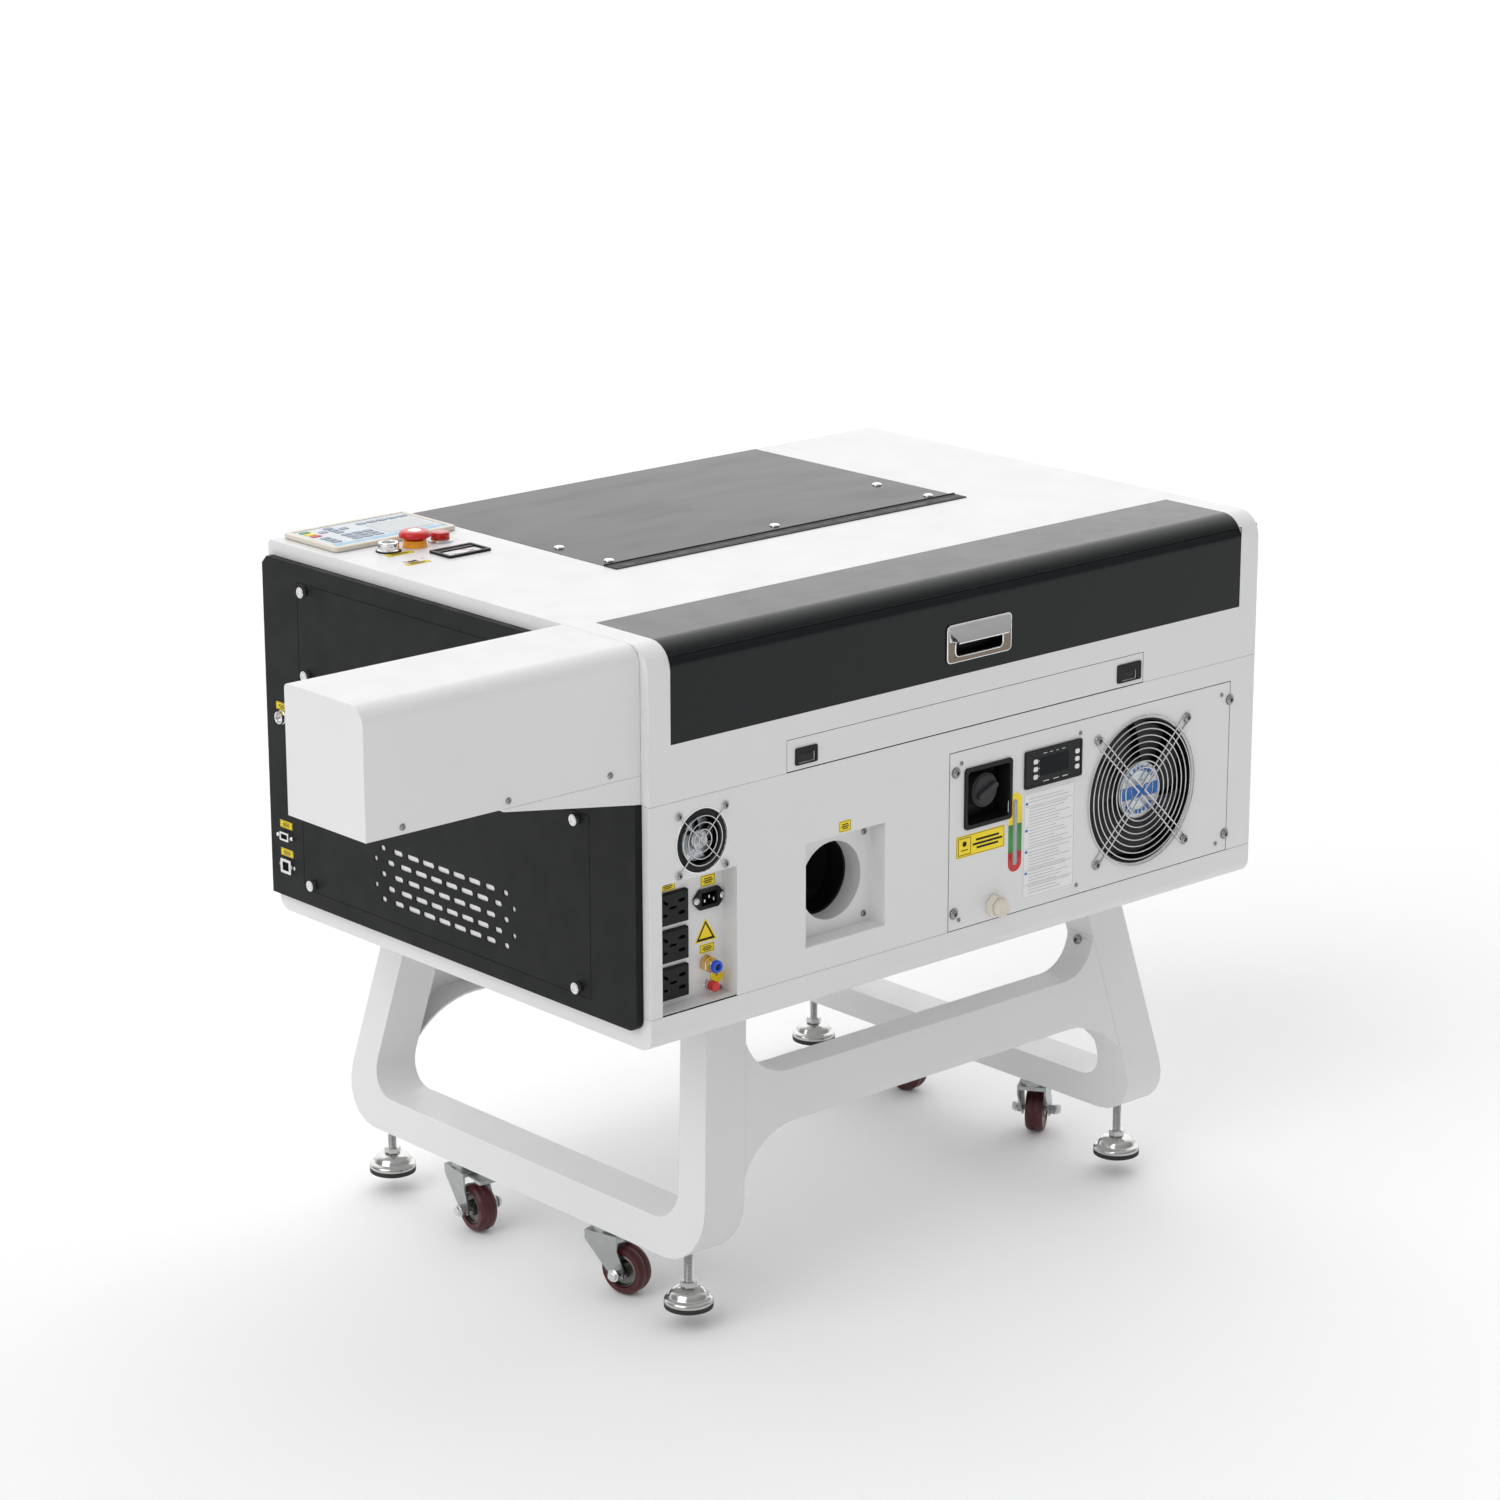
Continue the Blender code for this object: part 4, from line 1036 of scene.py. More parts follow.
@dataclass
class Studio:
    """The pale floor, the soft lights and the camera."""

    turn: float = 138.268
    rise: float = 16.068
    roll: float = -0.112
    lens: float = 100.13
    eye: tuple[float, float, float] = (3471.7, 3853.0, 2096.2)
    floor: float = 90.0
    surround: float = 0.318
    sky: float = 0.66
    glow: float = 1.15

    def build(self) -> None:
        """Builds the whole studio."""
        self.light_world()
        self.lay_floor()
        self.hang("key_light", (0.80, 0.05, 0.60), 1.0, 50)
        self.set_camera()
        bpy.context.scene.view_settings.view_transform = "Standard"

    def light_world(self) -> None:
        """Sets a pale surround: dim low down, and bright beyond the machine."""
        world = bpy.data.worlds.new("surround")
        world.use_nodes = True
        tree = world.node_tree
        ways = tree.nodes.new("ShaderNodeTexCoord").outputs["Generated"]
        total: bpy.types.NodeSocket | None = None
        for toward, start, end, power in (
                ((0, 0, 1), 0.0, 1.0, self.sky),
                ((-0.64, -0.72, 0.28), 0.25, 0.85, self.glow)):
            dot = tree.nodes.new("ShaderNodeVectorMath")
            dot.operation = "DOT_PRODUCT"
            tree.links.new(ways, dot.inputs[0])
            dot.inputs[1].default_value = toward
            rise = tree.nodes.new("ShaderNodeMapRange")
            rise.interpolation_type = "SMOOTHSTEP"
            for socket, value in zip(("From Min", "From Max", "To Max"),
                                     (start, end, power)):
                rise.inputs[socket].default_value = value
            rise.inputs["To Min"].default_value = 0 if total else self.surround
            tree.links.new(dot.outputs["Value"], rise.inputs["Value"])
            if total is None:
                total = rise.outputs["Result"]
            else:
                both = tree.nodes.new("ShaderNodeMath")
                tree.links.new(total, both.inputs[0])
                tree.links.new(rise.outputs["Result"], both.inputs[1])
                total = both.outputs["Value"]
        ground = tree.nodes["Background"]
        ground.inputs["Color"].default_value = (1, 1, 1, 1)
        tree.links.new(total, ground.inputs["Strength"])
        bpy.context.scene.world = world

    def lay_floor(self) -> None:
        """Lays the floor just under the wheels."""
        clear()
        bpy.ops.mesh.primitive_circle_add(vertices=96, radius=self.floor,
                                          fill_type="NGON",
                                          location=(0, 0, -0.0005))
        floor = added()
        floor.name = "studio_floor"
        pale = PowderCoat("floor_paint", "white_paint", (0.96, 0.96, 0.96), 0.9,
                          peel=0.00001, waves=60, marks=0.005)
        floor.data.materials.append(pale.material())

    def hang(self, name: str, toward: Point, power: float,
             spread: float) -> None:
        """Hangs one very wide, far and soft light.

        Args:
            name: The light's name.
            toward: Where it stands, as a direction from the machine.
            power: Its power.
            spread: How wide it looks from the machine, in degrees.
        """
        data = bpy.data.lights.new(name, "SUN")
        data.energy, data.angle = power, math.radians(spread)
        lamp = bpy.data.objects.new(name, data)
        aim = -Vector(toward)
        lamp.rotation_euler = aim.to_track_quat("-Z", "Y").to_euler()
        bpy.context.collection.objects.link(lamp)

    def set_camera(self) -> None:
        """Sets the camera behind the machine, at the operator's right."""
        turn, rise = math.radians(self.turn), math.radians(self.rise)
        back = Vector((math.sin(turn) * math.cos(rise),
                       -math.cos(turn) * math.cos(rise), math.sin(rise)))
        right = Vector((0, 0, 1)).cross(back).normalized()
        axes = Matrix((right, back.cross(right), back)).transposed().to_4x4()
        data = bpy.data.cameras.new("camera")
        data.lens, data.sensor_width = self.lens, 36.0
        data.clip_end = 400
        camera = bpy.data.objects.new("camera", data)
        eye = machine() @ Vector(self.eye)
        camera.matrix_world = (Matrix.Translation(eye) @ axes
                               @ Matrix.Rotation(math.radians(self.roll), 4, "Z"))
        bpy.context.collection.objects.link(camera)
        bpy.context.scene.camera = camera


@dataclass
class Cabinet:
    """The white sheet-metal body and its small rear screws."""

    edge: float = 0.9
    extension_rear: float = 354.2

    def build(self) -> None:
        """Builds the shells and the screws."""
        for node in ("base_frame", "lower_cabinet", "upper_cabinet",
                     "extension_cover", "extension_bracket"):
            skin(node, WHITE, self.edge, steps=3)
        self.fix_extension()

    def fix_extension(self) -> None:
        """Sets the small screws along the extension's lower edge."""
        places = [seat(Face.REAR, x, self.extension_rear, 756.5, 20 * n)
                  for n, x in enumerate((859.0, 711.5, 563.7))]
        heads = copies(screw(4.2, 1.6, Socket.CROSS), places)
        put(heads, "extension_screws", SCREW_STEEL)


@dataclass
class TubeLid:
    """The black lid over the laser tube, with its pull handle."""

    x: float = -9.7
    rear: float = REAR_WALL
    middle: float = 821.2
    wide: float = 107.6
    tall: float = 45.6
    mouth: tuple[float, float] = (81.0, 21.0)
    drop: float = -6.5
    body: str = "tube_lid"

    def build(self) -> None:
        """Builds the lid and its handle."""
        skin("tube_lid", GLOSS_BLACK, 1.3, self.body, steps=3)
        self.frame_handle()
        self.hood_handle()
        self.line_handle()

    def place(self) -> Matrix:
        """Returns the handle's place."""
        return seat(Face.REAR, self.x, self.rear, self.middle)

    def frame_handle(self) -> None:
        """Builds the hollow of the handle, its rim and its lower lip."""
        hollow = plate([rounded(self.wide, self.tall, 5.5),
                        rounded(*self.mouth, 6.5, 0, self.drop)], 0.05, 2.6, 0)
        with editing(hollow):
            choose(hollow, Kind.VERT, lambda v: v.co.z > 2 and abs(v.co.x) < 41
                   and -18 < v.co.y < 5)
            bpy.ops.transform.translate(value=(0, 0, -1.7))
        # The hollow's dark chrome is painted shade under the hood.
        put(ease(hollow, 0.3), "handle_hollow", RECESS_SHADED_CHROME, self.body,
            self.place(), ("tube_lid_handle",))
        rim = rounded(self.wide + 0.8, self.tall + 0.8, 5.6)
        put(wire([(x, y, 1.6) for x, y in rim], 1.05, True, 4), "handle_rim",
            CHROME, self.body, self.place())
        wide, tall = self.mouth
        lip = rounded(wide + 0.6, tall + 0.6, 6.8, 0, self.drop)
        put(wire([(x, y, 1.5) for x, y in lip], 1.1, True, 4), "handle_lip",
            CHROME, self.body, self.place())

    def hood_handle(self) -> None:
        """Builds the grip: a hood that leans out, rolls over and narrows."""
        side = [(1.2, 21.8), (2.6, 22.4), (6.6, 13.5), (10.0, 6.6),
                (11.3, 3.9), (11.2, 1.6), (9.6, 0.2), (8.2, 0.9), (8.9, 2.2),
                (8.7, 4.2), (7.6, 6.6), (4.6, 12.4)]
        hood = plate([side], -52.2, 52.2, 0)
        moved(hood, Matrix(((0, 0, 1, 0), (0, 1, 0, 0), (1, 0, 0, 0),
                            (0, 0, 0, 1))))
        with editing(hood):
            for level, part in ((18, 0.965), (10, 0.90), (5, 0.93)):
                choose(hood, Kind.VERT, lambda v: v.co.y < level)
                bpy.ops.transform.resize(value=(part, 1, 1))
            bpy.ops.mesh.select_all(action="SELECT")
            bpy.ops.mesh.normals_make_consistent(inside=False)
        put(ease(hood, 0.5, 3, 60), "handle_hood", CHROME, self.body,
            self.place())
        cheek = [(-40.5, 1.5), (-51.8, 3.0), (-52.6, 20.5), (-50.4, 21.5)]
        cheeks = joined([plate([[(s * x, y) for x, y in cheek]], 0.3, 3.2, 0.6)
                         for s in (1, -1)])
        put(cheeks, "handle_shoulders", SATIN_CHROME, self.body, self.place())

    def line_handle(self) -> None:
        """Builds the dark cup behind the grip."""
        cup = plate([rounded(92, 34, 9)], -18, 0.6, 0)
        sunk(cup, 1.0, 17)
        put(ease(cup, 0.25), "handle_cup", PLASTIC, self.body, self.place())


@dataclass
class RearFlap:
    """The pass-through flap with its two slide latches."""

    body: str = "rear_flap"
    rear: float = REAR_WALL
    slide_z: float = 725.5
    bezels: tuple[tuple, ...] = (("right", 274.9, 728.5, 35.2, 21.0),
                                 ("left", -278.5, 730.0, 43.0, 24.0))

    def build(self) -> None:
        """Builds the flap, the latch bezels and the sliders."""
        skin("rear_flap", WHITE, 0.8, self.body, 3)
        for side, x, z, wide, high in self.bezels:
            self.frame_latch(side, x, z, wide, high)
            self.slide_latch(side, x)

    def frame_latch(self, side: str, x: float, z: float, wide: float,
                    high: float) -> None:
        """Builds one latch's moulded bezel.

        Args:
            side: Which latch.
            x: Its middle across the machine.
            z: Its middle above the floor.
            wide: Width of the bezel.
            high: Height of the bezel.
        """
        drop = self.slide_z - z
        hole = rounded(27.4, 11.6, 1.2, y=drop)
        bezel = plate([rounded(wide, high, 2.2), hole], 0.05, 1.9, 0.6, 3)
        place = seat(Face.REAR, x, self.rear, z)
        put(bezel, f"latch_bezel_{side}", PLASTIC, self.body, place)

    def slide_latch(self, side: str, x: float) -> None:
        """Builds a slider with its finger ridges.

        Args:
            side: Which latch.
            x: Its middle across the machine.
        """
        slider = block((-12.9, -4.9, -5.9), (12.9, 4.9, -0.6), 1.2, "z", 0.4)
        ridges = copies(block((-11, -0.45, -1.0), (11, 0.45, -0.1), 0, "z", 0.25),
                        [Matrix.Translation((0, y, 0))
                         for y in (-3.4, -1.7, 0, 1.7, 3.4)])
        put(joined([slider, ridges]), f"latch_slider_{side}", GREY_BLACK,
            f"flap_latch_{side}", seat(Face.REAR, x, self.rear, self.slide_z),
            (f"flap_latch_{side}",))


def rotor(hub: float, tip: float, blades: int, depth: float,
          pitch: float) -> bpy.types.Object:
    """A fan rotor with swept, pitched blades, facing +z.

    Args:
        hub: Radius of its hub.
        tip: Radius of the blade tips.
        blades: Number of blades.
        depth: Depth along the axis.
        pitch: Turn of a blade from flat, in degrees.

    Returns:
        The new object, from z = -depth to 0.
    """
    clear()
    bpy.ops.mesh.primitive_grid_add(x_subdivisions=6, y_subdivisions=4, size=1)
    blade = added()
    reach, chord = tip - hub + 1.5, math.tau * hub / blades * 1.08
    for vert in blade.data.vertices:
        along, across = vert.co.x + 0.5, vert.co.y
        radius = hub - 1.5 + reach * along
        turn = across * chord * (1 + 0.35 * along) / (hub + 0.4 * reach * along)
        turn += 0.28 * along
        rise = across * chord * math.tan(math.radians(pitch)) * (1 - 0.45 * along)
        vert.co = (radius * math.cos(turn), radius * math.sin(turn),
                   max(-depth / 2 + 0.6, min(depth / 2 - 0.6, rise)) - depth / 2)
    apply(blade, "SOLIDIFY", thickness=max(0.8, depth * 0.05), offset=0)
    ease(blade, 0, angle=50)
    set_of = copies(blade, [Matrix.Rotation(math.tau * n / blades, 4, "Z")
                            for n in range(blades)])
    core = turned([(hub * 0.9, -depth), (hub, -depth + 0.8), (hub, -1.6),
                   (hub * 0.94, -0.4), (hub * 0.86, 0), (hub * 0.3, 0)], 48)
    return joined([core, set_of])


@dataclass
class SmallFan:
    """The small fan with its wire guard."""

    x: float = 438.2
    z: float = 656.6
    rear: float = REAR_WALL
    pitch: float = 35.75
    rings: tuple[float, ...] = (30.0, 22.0, 13.5, 6.0)

    def build(self) -> None:
        """Builds the rim, the shroud, the guard and the rotor."""
        place = seat(Face.REAR, self.x, self.rear, self.z)
        rim = turned([(40.4, 0.05), (40.2, 0.55), (38.6, 0.6), (38.4, -2.4),
                      (39.0, -2.4), (39.0, 0.05)], 72, ring=True)
        put(rim, "small_fan_rim", SATIN_CHROME, ROOT, place)
        shroud = turned([(38.2, -1.4), (36.5, -0.9), (29.4, -1.6), (28.6, -2.8),
                         (29.6, -5.2), (37.4, -6.4), (37.4, -28.5),
                         (38.2, -28.5)], 72, ring=True, angle=30)
        put(shroud, "small_fan_shroud", PLASTIC, ROOT, place)
        self.guard(place)
        blades = rotor(12.5, 27.2, 7, 13.0, 34)
        put(shifted(blades, z=-4.4), "small_fan_blades", DISC_METAL,
            "small_fan_rotor", place, ("small_fan_rotor",))
        back = turned([(35.8, -28.4), (35.8, -27.2), (20, -27.2)], 48)
        put(back, "small_fan_back", INSIDE, ROOT, place)

    def guard(self, place: Matrix) -> None:
        """Builds the guard's rings, arms and eyes, and its screws.

        Args:
            place: The fan's place.
        """
        parts = [hoop(r, 0.75, 1.5) for r in self.rings]
        reach = self.pitch * math.sqrt(2)
        for n in range(4):
            turn = Matrix.Rotation(math.radians(45 + 90 * n), 4, "Z")
            arm = wire([(reach - 5.0, 0, 0.85), (self.rings[0] + 3, 0, 0.9),
                        (self.rings[0], 0, 0.8), (0.3, 0, 0.8)], 0.85)
            eye = shifted(hoop(4.8, 0.8, sides=28), reach, 0, 0.85)
            parts += [moved(arm, turn), moved(eye, turn)]
        put(joined(parts), "small_fan_wires", WIRE_CHROME, ROOT, place,
            ("small_fan_guard",))
        put(copies(screw(4.7, 2.6), corners(place, self.pitch, 0.7)),
            "small_fan_screws", SCREW_STEEL)


@dataclass
class BigFan:
    """The chiller's large fan with its ringed guard."""

    x: float = -307.0
    z: float = 567.8
    rear: float = REAR_WALL
    pitch: float = 82.0
    outer: float = 98.4
    inner: float = 31.0
    count: int = 9
    disc: float = -3.7

    def build(self) -> None:
        """Builds the housing, the guard, the hub disc and the rotor."""
        place = seat(Face.REAR, self.x, self.rear, self.z)
        tunnel = turned([(95.3, -0.8), (92.6, -1.6), (91.6, -6), (91.6, -49),
                         (95.3, -49)], 96, ring=True, angle=30)
        put(tunnel, "big_fan_tunnel", PLASTIC, ROOT, place)
        back = turned([(93, -51), (93, -49), (60, -49)], 64)
        put(back, "big_fan_back", INSIDE, ROOT, place)
        self.guard(place)
        blades = shifted(rotor(38.5, 88.5, 7, 26.0, 26), z=-5.5)
        put(blades, "big_fan_blades", GREY_BLACK, "big_fan_rotor", place,
            ("big_fan_rotor",))
        disc = turned([(37.6, -6.2), (37.6, -4.0), (36.6, -3.2),
                       (35.4, self.disc), (26.5, self.disc), (25.9, -3.2),
                       (25.2, self.disc), (14.5, self.disc), (13.9, -3.2),
                       (13.2, self.disc), (6, self.disc)], 64, angle=30)
        put(disc, "big_fan_disc", DISC_METAL, "big_fan_rotor", place)
        print_on = (self.disc - 0.02, self.disc + 0.15, 0)
        band = plate([[(x, y) for x, y in circle(34.8, steps=64) if -12 < y < 8]],
                     *print_on)
        put(band, "big_fan_band", BLUE, "big_fan_rotor", place)
        arcs = []
        for low, high in ((35, 145), (215, 325)):
            for start in range(low, high, 14):
                turn = [math.radians(start + n * 2.2) for n in range(5)]
                arcs.append([(31.5 * math.cos(t), 31.5 * math.sin(t)) for t in turn]
                            + [(26.5 * math.cos(t), 26.5 * math.sin(t))
                               for t in reversed(turn)])
        put(joined([plate([arc], *print_on) for arc in arcs]), "big_fan_marks",
            BLUE, "big_fan_rotor", place)

    def guard(self, place: Matrix) -> None:
        """Builds the rings, the hairpin arms and the screws.

        Args:
            place: The fan's place.
        """
        step = (self.outer - self.inner) / (self.count - 1)
        parts = [hoop(self.inner + n * step, 0.95, 2.3, 120)
                 for n in range(self.count)]
        reach, half = self.pitch * math.sqrt(2), 5.8
        for n in range(4):
            turn = Matrix.Rotation(math.radians(45 + 90 * n), 4, "Z")
            bow = [(reach + half * math.cos(t), half * math.sin(t), 1.3)
                   for t in (-1.9, -1.2, -0.6, 0, 0.6, 1.2, 1.9)]
            pin = ([(2.5, -half * 0.7, 1.3)] + bow + [(2.5, half * 0.7, 1.3)])
            parts.append(moved(wire(pin, 1.2), turn))
        put(joined(parts), "big_fan_wires", WIRE_CHROME, ROOT, place,
            ("big_fan_guard",))
        put(copies(screw(6.6, 3.4), corners(place, self.pitch, 1.4)),
            "big_fan_screws", SCREW_STEEL)


@dataclass
class SocketPanel:
    """The recess with the outlets, the mains inlet and the air fitting."""

    back: float = RECESS_WALL
    outlet_x: float = 464.3
    outlet_rows: tuple[float, ...] = (574.75, 528.75, 482.75)
    inlet_x: float = 407.5
    inlet_z: float = 574.0
    inlet_screws: float = 20.0
    air_at: tuple[float, float] = (411.0, 494.0)
    ground_at: tuple[float, float] = (408.0, 467.0)
    hazard_at: tuple[float, float] = (411.0, 533.0)

    def wall(self, at: tuple[float, float]) -> Matrix:
        """Returns a place on the back of the recess."""
        return seat(Face.REAR, at[0], self.back, at[1])

    def build(self) -> None:
        """Builds everything in the recess."""
        skin("socket_recess", WHITE, 0.7)
        places = [self.wall((self.outlet_x, z)) for z in self.outlet_rows]
        put(copies(self.outlet(), places), "outlets", PLASTIC)
        self.inlet()
        self.air()
        self.ground()
        self.labels()
        put(copies(screw(3.0, 1.6, Socket.CROSS),
                   [seat(Face.REAR, 388.5, self.back, 458.5, 25)]),
            "recess_screw", SCREW_STEEL)

    def outlet(self) -> bpy.types.Object:
        """Builds one outlet with its five slots.

        Returns:
            The outlet, lying flat.
        """
        body = block((-22.7, -19.75, -0.5), (22.7, 19.75, 5.0), 1.2, "z", 0)
        with editing(body):
            choose(body, Kind.EDGE, lambda e: all(
                v.co.z > 4.5 and v.co.y > 19 for v in e.verts))
            bpy.ops.mesh.bevel(offset=2.6, segments=1, affect="EDGES")
        ease(body, 0.7, 3)
        tools = [
            moved(plate([rounded(9.5, 3.6, 0.8)], 0.6, 8, 0),
                  Matrix.Translation((-13, 8.5, 0)) @ Matrix.Rotation(-0.6, 4, "Z")),
            plate([rounded(6.8, 3.4, 1.6, -13, -7.5)], 0.6, 8, 0),
            plate([rounded(10.5, 3.0, 0.8, -1, 0.5)], 0.6, 8, 0),
            plate([rounded(10.5, 4.6, 2.2, 12.6, 7.6)], 0.6, 8, 0),
            plate([rounded(10.5, 4.6, 2.2, 12.6, -7.6)], 0.6, 8, 0)]
        return ease(cut(body, joined(tools)), 0, angle=35)

    def inlet(self) -> None:
        """Builds the mains inlet with its pins and screws."""
        obj = ease(node_copy("power_inlet"), 0.8, 3)
        put(obj, "mains_inlet", PLASTIC, stands_for=("power_inlet",))
        pins = copies(block((-2.0, -1.0, 0), (2.0, 1.0, 15), 0.5, "z", 0.5),
                      [seat(Face.REAR, self.inlet_x + x, 330.5, self.inlet_z + z, 90)
                       for x, z in ((-7, -2), (7, -2), (0, 2.2))])
        put(pins, "inlet_pins", SATIN_CHROME)
        put(copies(screw(4.3, 2.0, Socket.CROSS),
                   [seat(Face.REAR, self.inlet_x + x, self.back + 3.5,
                         self.inlet_z, 15 + x)
                    for x in (-self.inlet_screws, self.inlet_screws)]),
            "inlet_screws", SATIN_CHROME)

    def air(self) -> None:
        """Builds the push-in air fitting."""
        nut = turned([(9.4, 0), (10.6, 0.8), (10.6, 9.2), (9.4, 10), (7.2, 10)],
                     6, edge=0.5, angle=20)
        neck = turned([(8.0, 9.8), (8.3, 10.6), (8.3, 16.0), (7.6, 17.0),
                       (5.0, 17.0)], 36)
        place = self.wall(self.air_at)
        put(joined([nut, neck]), "air_fitting_body", BRASS, ROOT, place,
            ("air_fitting",))
        collar = turned([(7.2, 16.6), (7.8, 17.4), (7.8, 21.6), (7.0, 22.8),
                         (4.4, 22.8), (4.1, 22.0), (4.1, 15.0)], 36, ring=True)
        put(collar, "air_fitting_collar", BLUE_MOULDED, ROOT, place)
        bore = turned([(4.05, 15.5), (4.05, 16.2), (2, 16.2)], 24)
        put(bore, "air_fitting_bore", INSIDE, ROOT, place)

    def ground(self) -> None:
        """Builds the ground terminal with its fluted knob."""
        place = self.wall(self.ground_at)
        foot = turned([(7.4, 0), (7.4, 1.2), (6.4, 1.8), (4.6, 1.8), (4.6, 3.4),
                       (2.0, 3.4)], 36, edge=0.2)
        put(foot, "ground_foot", CHROME, ROOT, place)
        collar = turned([(5.6, 2.2), (5.9, 2.6), (5.9, 5.6), (5.4, 6.2), (3, 6.2)],
                        36)
        put(collar, "ground_collar", CLEAR_CAP, ROOT, place)
        knob = plate([fluted(6.1, 0.3, 18, 72)], 6.0, 15.8, 0.7, 3)
        put(knob, "ground_knob", RED, ROOT, place)

    def labels(self) -> None:
        """Builds the labels, with plain bars in place of words."""
        for name, at, wide, tall in (("inlet", (407.2, 595.5), 22.5, 13.5),
                                     ("outlet", (469.6, 601.0), 23.4, 10.8),
                                     ("fitting", (409.0, 512.0), 22.5, 11.0)):
            label(f"{name}_label", self.wall(at), wide, tall, icon=False)
        place = self.wall(self.hazard_at)
        corner = [(-17.5, -12.5), (17.5, -12.5), (0, 16.5)]
        put(film(corner), "hazard_field", YELLOW, ROOT, place)
        lines = [[(x * part, y * part - 0.5) for x, y in corner]
                 for part in (0.84, 0.60)]
        put(ink(*lines), "hazard_border", INK, ROOT, place)
        round_place = seat(Face.REAR, 394, self.back, 474)
        disc = plate([circle(10.0)], 0.05, 0.35, 0)
        put(disc, "ground_label", YELLOW, ROOT, round_place)
        marks = [rounded(9 - 2.6 * n, 1.1, 0.4, 0, 5.6 - 2.4 * n) for n in range(3)]
        put(plate(marks, 0.35, 0.5, 0), "ground_marks", INK, ROOT, round_place)


def label(name: str, place: Matrix, width: float, height: float,
          icon: bool = True) -> None:
    """Builds a yellow label with a border and plain bars.

    Args:
        name: The label's name.
        place: Its place.
        width: Its width.
        height: Its height.
        icon: Adds a bordered box to the left of the bars.
    """
    put(film(rounded(width, height, 0.8)), name, YELLOW, ROOT, place)
    parts = [ink(rounded(width - 1.6, height - 1.6, 0.5),
                 rounded(width - 2.6, height - 2.6, 0.3))]
    left = -width / 2 + 3.4
    if icon:
        box = height - 6.0
        middle = left + box / 2
        parts += [ink(rounded(box, box, 0.6, middle, 0),
                      rounded(box - 1.6, box - 1.6, 0.3, middle, 0)),
                  ink(circle(box * 0.16, middle, box * 0.14)),
                  ink(rounded(box * 0.55, 1.2, 0.4, middle, -box * 0.22))]
        left += box + 2.0
    room = width / 2 - 3.0 - left
    parts.append(ink(*[
        rounded(room * part, height * 0.10, 0.2, left + room / 2, height * rise)
        for part, rise in ((0.75, 0.17), (0.95, -0.02), (0.7, -0.20))]))
    put(joined(parts), f"{name}_marks", INK, ROOT, place)


@dataclass
class Seams:
    """The shade in the joints between the shells: thin near-black frames, set just under their
    faces, paint it.
    """

    width: float = 0.9
    depth: float = 0.28
    outer: tuple[float, float] = (1036.0, 736.4)
    inner: tuple[float, float] = (1030.0, 730.0)

    def build(self) -> None:
        """Builds the joints round the shells, the panels and the doors."""
        for name, z in (("tray_seam", 453.35), ("middle_seam", 711.25)):
            wide, deep = (side - 2 * self.depth for side in self.outer)
            ring = plate([rounded(wide, deep, 0.5), rounded(*self.inner, 0.5)],
                         z - self.width / 2, z + self.width / 2, 0)
            put(ring, name, INSIDE)
        for name, box in (("chiller_seam", (-472.45, 36.45, 453.4, 682.65)),
                          ("flap_seam", (-305.2, 305.2, 711.3, 751.2)),
                          ("lid_seam", (-484.7, 484.7, 780.3, 885))):
            self.frame(name, Face.REAR, box)
        for name, box in (("upper_door_seam", (-294.4, 170.4, 733.1, 859.1)),
                          ("lower_door_seam", (-297.9, 272.7, 458.0, 683.9))):
            self.frame(name, Face.RIGHT, box)

    def frame(self, name: str, face: Face,
              box: tuple[float, float, float, float]) -> None:
        """Builds a thin near-black frame that paints the shade in the gap round a panel.

        Args:
            name: The frame's name.
            face: The face that it lies in.
            box: Its low and high limits across and up.
        """
        low, high, bottom, top = box
        wide, tall, grow = high - low, top - bottom, self.width / 2
        ring = plate([rounded(wide + 2 * grow, tall + 2 * grow, 0.6),
                      rounded(wide - 2 * grow, tall - 2 * grow, 0.5)],
                     -1.2, -self.depth, 0)
        middle = (low + high) / 2
        place = (seat(face, middle, REAR_WALL, (bottom + top) / 2)
                 if face is Face.REAR
                 else seat(face, SIDE_WALL, middle, (bottom + top) / 2))
        put(ring, name, INSIDE, ROOT, place)


@dataclass
class ExhaustPort:
    """The square recess with the round smoke duct."""

    x: float = 209.55
    z: float = 552.5
    back: float = RECESS_WALL
    duct_front: float = 192.0
    screw_x: float = 156.0
    screw_rows: tuple[float, ...] = (603.0, 499.0)

    def build(self) -> None:
        """Builds the recess, its screws, its label and the dark duct end."""
        skin("exhaust_recess", WHITE, 0.8, steps=3)
        put(copies(screw(4.4, 1.9, Socket.CROSS),
                   [seat(Face.REAR, self.screw_x, self.back, z, 30 * n)
                    for n, z in enumerate(self.screw_rows)]),
            "exhaust_screws", SCREW_STEEL)
        sleeve = turned([(51.4, 0), (52.4, 0), (52.4, 90), (49.3, 90),
                         (49.3, 60), (51.4, 60)], 72, ring=True)
        place = seat(Face.REAR, self.x, self.duct_front, self.z)
        put(sleeve, "exhaust_hose_end", RUBBER, ROOT, place)
        end = turned([(51, 2), (51, 3), (30, 3)], 72)
        throat = turned([(48.8, 92), (48.8, 123), (47.6, 123.5), (46.6, 122),
                         (46.2, 92)], 72, ring=True, angle=30)
        put(joined([end, throat]), "exhaust_throat", PLASTIC, ROOT, place)
        label("exhaust_label", seat(Face.REAR, 211.4, REAR_WALL, 627.3), 19.6, 13.8,
              icon=False)


